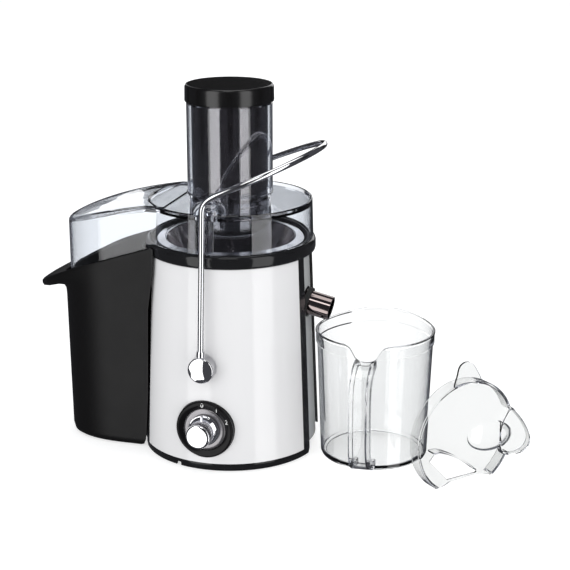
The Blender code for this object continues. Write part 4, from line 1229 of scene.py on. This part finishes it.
for side in (-1, 1):
    fused(lid, boss_of(side, BOSS_R, BOSS_LOW, BOSS_TOP - 0.011, 0.011, BOSS_Y, 10, 72))
fused(lid, hood_form("hood_outside", 0, 0))
carved(lid, rod(LID_R - LID_WALL, 0.2, LID_TOP - LID_WALL, AT_DRIVE, 160))
for side in (-1, 1):
    room_top = BOSS_TOP - 0.0125
    carved(lid, boss_of(side, BOSS_R - LID_WALL, BOSS_ROOM_LOW, room_top, 0.010, BOSS_Y - 0.001, 15, 64))
carved(lid, hood_form("hood_room", LID_WALL, LID_WALL))
carved(lid, rod(HOOD_CLEARANCE_R, 0.18, LID_LOW, AT_DRIVE, 160))
tube_outline = [
    (0, THROAT_LOW),
    (THROAT_R, THROAT_LOW),
    (THROAT_R, LID_TOP + 0.0040),
    (THROAT_R + 0.0004, LID_TOP + 0.0056),
    (TUBE_R + 0.0005, LID_TOP + 0.0088),
    (TUBE_R + 0.0005, LID_TOP + 0.0100),
    (TUBE_R, LID_TOP + 0.0106),
    (TUBE_R, TUBE_TOP - 0.0006),
    (TUBE_R - 0.0006, TUBE_TOP),
    (0, TUBE_TOP),
]
bore_outline = [
    (0, 0.15),
    (THROAT_BORE_R, 0.15),
    (THROAT_BORE_R, LID_TOP + 0.0046),
    (TUBE_BORE_R, LID_TOP + 0.0092),
    (TUBE_BORE_R, 0.38),
    (0, 0.38),
]
fused(lid, spun("feed_tube", tube_outline, steps=128))
carved(lid, spun("feed_bore", bore_outline, steps=128))
smoothed(lid, 30)
done(lid, clear_lid, "base", "clear_plastic", "lid")

# Pusher: a hollow black cup with a metallised gloss, closed by a satin cap that stops it at the tube's top.
# The cap's edge is broken by a small radius and a fine parting step.

PUSHER_R = 0.0373
PUSHER_LOW = 0.2030
PUSHER_CAP_R = 0.0436
PUSHER_CAP_LOW = 0.3510
PUSHER_CAP_TOP = 0.3680
PUSHER_WALL = 0.0022

metallised_black = surface("metallised_black", (0.010, 0.009, 0.010), 0.06, 0.0, 0.2, 0.03, 60, 0.0000015)
adjusted(metallised_black, IOR=2.1, Specular_Tint=(1, 0.92, 0.93, 1), Coat_Weight=1, Coat_Roughness=0.03)

pusher = spun(
    "metallised_pusher",
    [
        (0, PUSHER_LOW),
        (PUSHER_R - 0.0050, PUSHER_LOW),
        (PUSHER_R - 0.0018, PUSHER_LOW + 0.0010),
        (PUSHER_R - 0.0004, PUSHER_LOW + 0.0026),
        (PUSHER_R, PUSHER_LOW + 0.0050),
        (PUSHER_R, PUSHER_CAP_LOW - FIT_GAP),
        (PUSHER_R - PUSHER_WALL, PUSHER_CAP_LOW - FIT_GAP),
        (PUSHER_R - PUSHER_WALL, PUSHER_LOW + 0.0050),
        (PUSHER_R - 0.0052, PUSHER_LOW + PUSHER_WALL),
        (0, PUSHER_LOW + PUSHER_WALL),
    ],
    steps=128,
)
smoothed(pusher, 40)
done(pusher, metallised_black, "plunger", "black_gloss", "pusher")

cap_black = surface("cap_black", (0.005, 0.0048, 0.005), 0.20, 0.0, 0.2, 0.05, 1200, 0.00001)
adjusted(cap_black, Specular_IOR_Level=0.55)

pusher_cap = spun(
    "satin_pusher_cap",
    [
        (0, PUSHER_CAP_LOW),
        (PUSHER_CAP_R - 0.0012, PUSHER_CAP_LOW),
        (PUSHER_CAP_R - 0.0002, PUSHER_CAP_LOW + 0.0005),
        (PUSHER_CAP_R, PUSHER_CAP_LOW + 0.0014),
        (PUSHER_CAP_R - 0.0002, PUSHER_CAP_TOP - 0.0030),
        (PUSHER_CAP_R - 0.0006, PUSHER_CAP_TOP - 0.0014),
        (PUSHER_CAP_R - 0.0014, PUSHER_CAP_TOP - 0.0004),
        (PUSHER_CAP_R - 0.0026, PUSHER_CAP_TOP),
        (0, PUSHER_CAP_TOP),
    ],
    steps=128,
)
smoothed(pusher_cap, 40)
done(pusher_cap, cap_black, "plunger", "black_satin", "pusher_cap")

# Pulp container: a tall satin black bin, moulded to hug the base, that hangs under the lid's hood.
# Its rim ends in a wide lip at the far end, which serves as the handle.

CONTAINER_END = -0.1720
CONTAINER_TOP_HALF_WIDTH = 0.0625
CONTAINER_BASE_HALF_WIDTH = 0.0500
CONTAINER_GAP = 0.0016
CONTAINER_LIP_OUT = 0.0290
CONTAINER_LIP_DROP = 0.0190
CONTAINER_LIP_START = -0.1300
HUG_SHARE = 0.30


def container_point(across, half_width, inset, hug_r):
    """A point round the container's outline: once round the tongue, then back along the base's side."""
    width = half_width - inset
    reach = hug_r + CONTAINER_GAP + inset
    corner = atan2(width, -sqrt(reach**2 - width**2))
    if across > 1 - HUG_SHARE:
        turn = corner + (2 * pi - 2 * corner) * (across - 1 + HUG_SHARE) / HUG_SHARE
        return reach * cos(turn), reach * sin(turn)
    return tongue_point(across / (1 - HUG_SHARE), CONTAINER_END + inset, width, reach * cos(corner))


# Each ring has its height, or its drop below the rim, its share of the flare, its inset and its share
# of the lip.
CONTAINER_RINGS = (
    (0.0006, None, 0.00, 0.0060, 0),
    (0.0010, None, 0.00, 0.0036, 0),
    (0.0030, None, 0.00, 0.0012, 0),
    (0.0090, None, 0.04, 0.0000, 0),
    (0.0550, None, 0.27, 0.0000, 0),
    (0.1000, None, 0.50, 0.0000, 0),
    (0.1500, None, 0.72, 0.0000, 0),
    (None, 0.0230, 0.90, 0.0000, 0),
    (None, 0.0180, 0.92, 0.0000, 0.10),
    (None, 0.0140, 0.94, 0.0000, 0.42),
    (None, 0.0110, 0.95, 0.0000, 0.78),
    (None, 0.0078, 0.97, 0.0000, 0.97),
    (None, 0.0042, 0.99, 0.0000, 1.03),
    (None, 0.0016, 1.00, 0.0000, 1.03),
    (None, 0.0004, 1.00, 0.0003, 0.99),
    (None, 0.0000, 1.00, 0.0008, 0.92),
    (None, 0.0004, 1.00, 0.0014, 0.80),
    (None, 0.0030, 1.00, 0.0018, 0.45),
    (None, 0.0050, 1.00, 0.0022, 0.08),
    (None, 0.0230, 0.90, 0.0022, 0),
    (0.1000, None, 0.50, 0.0022, 0),
    (0.0100, None, 0.04, 0.0022, 0),
    (0.0040, None, 0.00, 0.0060, 0),
)


def container_rule(across, along):
    height, drop, flare, inset, lip = CONTAINER_RINGS[round(along * (len(CONTAINER_RINGS) - 1))]
    half_width = CONTAINER_BASE_HALF_WIDTH + (CONTAINER_TOP_HALF_WIDTH - CONTAINER_BASE_HALF_WIDTH) * flare
    hug_r = RING_OUTER if height is None else base_radius(min(height, 0.06))
    x, y = container_point(across, half_width, inset, hug_r)
    if height is None:
        height = container_rim(x) - drop
    share = lip * max(0, (CONTAINER_LIP_START - x) / (CONTAINER_LIP_START - CONTAINER_END)) ** 2
    return Vector((x - CONTAINER_LIP_OUT * share, y, height - CONTAINER_LIP_DROP * share))


container = formed("black_pulp_bin", 200, len(CONTAINER_RINGS) - 1, container_rule)
smoothed(container, 40)
done(container, satin_black, "base", "black_satin", "pulp_container")

# Jug: a clear styrene jug for a litre. Its rim band is stepped out over the wall, it pours over a lip on one
# side, and a ribbed strap handle springs from a dip in the rim on the other.

JUG_R = 0.0586
JUG_BASE_R = 0.0530
JUG_HEIGHT = 0.1300
JUG_STEP_Z = 0.1170
JUG_WALL = 0.0022
JUG_LIP_START = 0.0950
JUG_LIP_OUT = 0.0045
JUG_LIP_UP = 0.0030
JUG_HANDLE_OUT = 0.0360
JUG_HANDLE_LOW = 0.0060
JUG_HANDLE_HIGH = 0.1165
JUG_DIP_DEPTH = 0.0160
JUG_HANDLE_HALF_WIDTH = 0.0105
RIB_WIDTH = 0.0042
RIB_DEPTH = 0.0075
WEB_DEPTH = 0.0020
AT_JUG = AT_DRIVE @ Matrix.Translation((0.1475, 0.0050, 0)) @ Matrix.Rotation(radians(-86.5), 4, "Z")

clear_jug = clear_moulding("clear_jug_styrene", (0.925, 0.93, 0.93), 0.0004)


def plate(name, outline, low, high, place):
    """An outline given a thickness between two depths and set in its place."""
    bpy.ops.object.select_all(action="DESELECT")
    bpy.ops.mesh.primitive_circle_add(vertices=len(outline), radius=1, fill_type="NGON")
    piece = bpy.context.object
    piece.name = name
    for vertex, (x, y) in zip(piece.data.vertices, outline):
        vertex.co = (x, y, low)
    bpy.ops.object.mode_set(mode="EDIT")
    bpy.ops.mesh.select_all(action="SELECT")
    bpy.ops.mesh.extrude_region_move(TRANSFORM_OT_translate={"value": (0, 0, high - low)})
    bpy.ops.object.mode_set(mode="OBJECT")
    closed_up(piece)
    piece.data.transform(place)
    return piece


def curve_through(points, steps, closed=True):
    """A smooth line through points, in several straight steps between each pair."""
    line = []
    count = len(points)
    for index in range(count if closed else count - 1):
        near = []
        for offset in (-1, 0, 1, 2):
            spot = index + offset
            near.append(Vector(points[spot % count] if closed else points[min(max(spot, 0), count - 1)]))
        before, start, end, after = near
        for step in range(steps):
            t = step / steps
            curve = 2 * start + (end - before) * t
            curve += (2 * before - 5 * start + 4 * end - after) * t * t
            curve += (3 * start - before - 3 * end + after) * t * t * t
            line.append(tuple(curve / 2))
    if not closed:
        line.append(tuple(points[-1]))
    return line


jug = spun(
    "clear_jug",
    [
        (0, 0.0016),
        (JUG_BASE_R - 0.0060, 0.0016),
        (JUG_BASE_R - 0.0052, 0.0004),
        (JUG_BASE_R - 0.0030, 0.0004),
        (JUG_BASE_R - 0.0010, 0.0012),
        (JUG_BASE_R, 0.0034),
        (JUG_R - 0.0013, JUG_STEP_Z - 0.0006),
        (JUG_R - 0.0010, JUG_STEP_Z),
        (JUG_R - 0.0002, JUG_STEP_Z + 0.0008),
        (JUG_R, JUG_STEP_Z + 0.0016),
        (JUG_R, JUG_HEIGHT - 0.0024),
        (JUG_R + 0.0006, JUG_HEIGHT - 0.0016),
        (JUG_R + 0.0006, JUG_HEIGHT - 0.0006),
        (JUG_R, JUG_HEIGHT),
        (JUG_R - JUG_WALL + 0.0004, JUG_HEIGHT),
        (JUG_R - JUG_WALL, JUG_HEIGHT - 0.0008),
        (JUG_R - JUG_WALL, JUG_STEP_Z + 0.0010),
        (JUG_R - JUG_WALL - 0.0012, JUG_STEP_Z - 0.0010),
        (JUG_BASE_R - JUG_WALL, 0.0080),
        (JUG_BASE_R - JUG_WALL - 0.0010, 0.0054),
        (JUG_BASE_R - JUG_WALL - 0.0034, 0.0040),
        (0, 0.0040),
    ],
    Matrix.Identity(4),
    160,
)
for vertex in jug.data.vertices:
    rise = max(0, (vertex.co.z - JUG_LIP_START) / (JUG_HEIGHT - JUG_LIP_START))
    share = rise * max(0, -vertex.co.x / JUG_R) ** 4
    vertex.co.x -= JUG_LIP_OUT * share
    vertex.co.z += JUG_LIP_UP * share

HALF = JUG_HANDLE_HALF_WIDTH
RIB_IN = HALF - RIB_WIDTH
EDGE = 0.0006
STRAP_SECTION = [(HALF - EDGE, 0), (HALF, EDGE), (HALF, RIB_DEPTH - EDGE), (HALF - EDGE, RIB_DEPTH)]
STRAP_SECTION += [(RIB_IN + EDGE, RIB_DEPTH), (RIB_IN, RIB_DEPTH - EDGE)]
STRAP_SECTION += [(RIB_IN, WEB_DEPTH + EDGE), (RIB_IN - EDGE, WEB_DEPTH)]
STRAP_SECTION += [(-side, depth) for side, depth in reversed(STRAP_SECTION)]


def strap_spot(share):
    """Where the strap's back runs, as a reach from the jug's axis and a height."""
    height = JUG_HANDLE_LOW + (JUG_HANDLE_HIGH - JUG_HANDLE_LOW) * share
    wall = JUG_BASE_R + (JUG_R - JUG_BASE_R) * height / JUG_HEIGHT
    bow = (1 - abs(2 * share - 1) ** 4) ** 0.5
    return Vector((wall - 0.0015 + (JUG_HANDLE_OUT + 0.0035) * bow, height))


def strap_rule(across, along):
    share = 0.5 - 0.5 * cos(pi * along)
    here = strap_spot(share)
    ahead = strap_spot(min(share + 0.001, 1)) - strap_spot(max(share - 0.001, 0))
    inward = Vector((-ahead.y, ahead.x)).normalized()
    side, depth = STRAP_SECTION[round(across * len(STRAP_SECTION)) % len(STRAP_SECTION)]
    spot = here + inward * depth
    return Vector((spot.x, side, spot.y))


strap = formed("strap", len(STRAP_SECTION), 56, strap_rule, Matrix.Identity(4))
fused(jug, strap)
dip_line = [(-0.0260, 0.0030), (-0.0215, -0.0002), (-0.0165, -0.0026), (-0.0130, -0.0074), (-0.0095, -0.0130)]
dip_line += [(-0.0045, -0.0156), (0, -JUG_DIP_DEPTH), (0.0045, -0.0156), (0.0095, -0.0130)]
dip_line += [(0.0130, -0.0074), (0.0165, -0.0026), (0.0215, -0.0002), (0.0260, 0.0030)]
side_on = Matrix.Translation((0, 0, JUG_HEIGHT)) @ Matrix.Rotation(radians(90), 4, "Z")
side_on = side_on @ Matrix.Rotation(radians(90), 4, "X")
carved(jug, plate("dip", curve_through(dip_line, 4, False), JUG_R - 0.010, JUG_R + 0.010, side_on))
jug.data.transform(AT_JUG)
smoothed(jug, 32)
done(jug, clear_jug, "jug", "clear_plastic", "jug")

# Jug lid: a clear styrene lid that snaps on the jug's rim and here stands on the cut edge of its skirt.
# It has a thumb tab, a domed flap over the pouring lip, and a strainer window that holds back the froth.

JUG_LID_R = 0.0570
JUG_LID_DEPTH = 0.0140
JUG_LID_WALL = 0.0020
JUG_LID_CUT = -0.0448
STRAINER_DEPTH = 0.0110
AT_JUG_LID = (
    AT_DRIVE
    @ Matrix.Translation((0.2499, -0.0456, 0.0004 - JUG_LID_CUT))
    @ Matrix.Rotation(radians(47.3), 4, "Z")
    @ Matrix.Rotation(radians(90), 4, "X")
)
THUMB_TAB = [(-0.0160, 0.0520), (-0.0135, 0.0660), (-0.0110, 0.0740), (-0.0050, 0.0775)]
THUMB_TAB += [(0.0020, 0.0760), (0.0090, 0.0680), (0.0150, 0.0540), (0, 0.0500)]
FLAP = [(0.0440, 0.0180), (0.0505, 0.0225), (0.0570, 0.0160), (0.0650, 0.0065), (0.0720, -0.0050)]
FLAP += [(0.0758, -0.0150), (0.0735, -0.0225), (0.0660, -0.0275), (0.0560, -0.0285), (0.0460, -0.0260)]
FLAP += [(0.0380, -0.0200), (0.0360, 0.0020)]
STRAINER_ARC = [(-0.0385, -0.0088), (-0.0300, -0.0095), (-0.0190, -0.0141), (-0.0070, -0.0214)]
STRAINER_ARC += [(0.0055, -0.0304), (0.0135, -0.0372)]
CUT_EDGE = [(-0.0800, -0.0448), (-0.0331, -0.0448), (-0.0187, -0.0413), (-0.0067, -0.0408), (0.0055, -0.0402)]
CUT_EDGE += [(0.0178, -0.0415), (0.0296, -0.0442), (0.0340, -0.0448), (0.0800, -0.0448)]

jug_lid = spun(
    "clear_jug_lid",
    [
        (0, 0),
        (JUG_LID_R - 0.0008, 0),
        (JUG_LID_R, -0.0008),
        (JUG_LID_R, -JUG_LID_DEPTH + 0.0004),
        (JUG_LID_R - 0.0004, -JUG_LID_DEPTH),
        (JUG_LID_R - JUG_LID_WALL + 0.0004, -JUG_LID_DEPTH),
        (JUG_LID_R - JUG_LID_WALL, -JUG_LID_DEPTH + 0.0004),
        (JUG_LID_R - JUG_LID_WALL, -JUG_LID_WALL - 0.0008),
        (JUG_LID_R - JUG_LID_WALL - 0.0008, -JUG_LID_WALL),
        (0, -JUG_LID_WALL),
    ],
    Matrix.Identity(4),
    144,
)
fused(jug_lid, plate("tab", curve_through(THUMB_TAB, 5), -JUG_LID_WALL - 0.0001, 0.0001, Matrix.Identity(4)))
flap = plate("flap", curve_through(FLAP, 5), -JUG_LID_WALL * 0.6, 0.0058, Matrix.Identity(4))
softened(flap, 0.0022, 4, 60)
fused(jug_lid, flap)
flap_middle = Vector((0.056, -0.004))
shrunk = [tuple(flap_middle + (Vector(point) - flap_middle) * 0.90) for point in FLAP]
carved(jug_lid, plate("flap_room", curve_through(shrunk, 5), -0.0305, 0.0038, Matrix.Identity(4)))
for size, sink, operation in ((1, 0, "UNION"), (0.93, 0.0012, "DIFFERENCE")):
    bpy.ops.object.select_all(action="DESELECT")
    bpy.ops.mesh.primitive_uv_sphere_add(segments=72, ring_count=36, radius=1)
    dome = bpy.context.object
    lie = Matrix.Translation((0.0270, -0.0030, -sink)) @ Matrix.Rotation(radians(-9), 4, "Z")
    dome.data.transform(lie @ Matrix.Diagonal((0.0270 * size, 0.0155 * size, 0.0052 * size, 1)))
    merged(jug_lid, dome, operation)
arc = curve_through(STRAINER_ARC, 5, False)
baffle = arc + [(x, y + 0.0016) for x, y in reversed(arc)]
fused(jug_lid, plate("baffle", baffle, -STRAINER_DEPTH, -JUG_LID_WALL / 3, Matrix.Identity(4)))
window = [(x, y - 0.0005) for x, y in arc] + [(0.0120, -0.0385), (-0.0220, -0.0385), (-0.0440, -0.0150)]
carved(jug_lid, plate("window", window, -JUG_LID_WALL * 1.5, JUG_LID_WALL, Matrix.Identity(4)))
below = curve_through(CUT_EDGE, 5, False) + [(0.0800, -0.0750), (-0.0800, -0.0750)]
carved(jug_lid, plate("below", below, -0.03, 0.02, Matrix.Identity(4)))
jug_lid.data.transform(AT_JUG_LID)
smoothed(jug_lid, 32)
clear_jug_lid = clear_moulding("clear_jug_lid_styrene", (0.855, 0.86, 0.855), 0.0004)
done(jug_lid, clear_jug_lid, "jug_lid", "clear_plastic", "jug_lid")
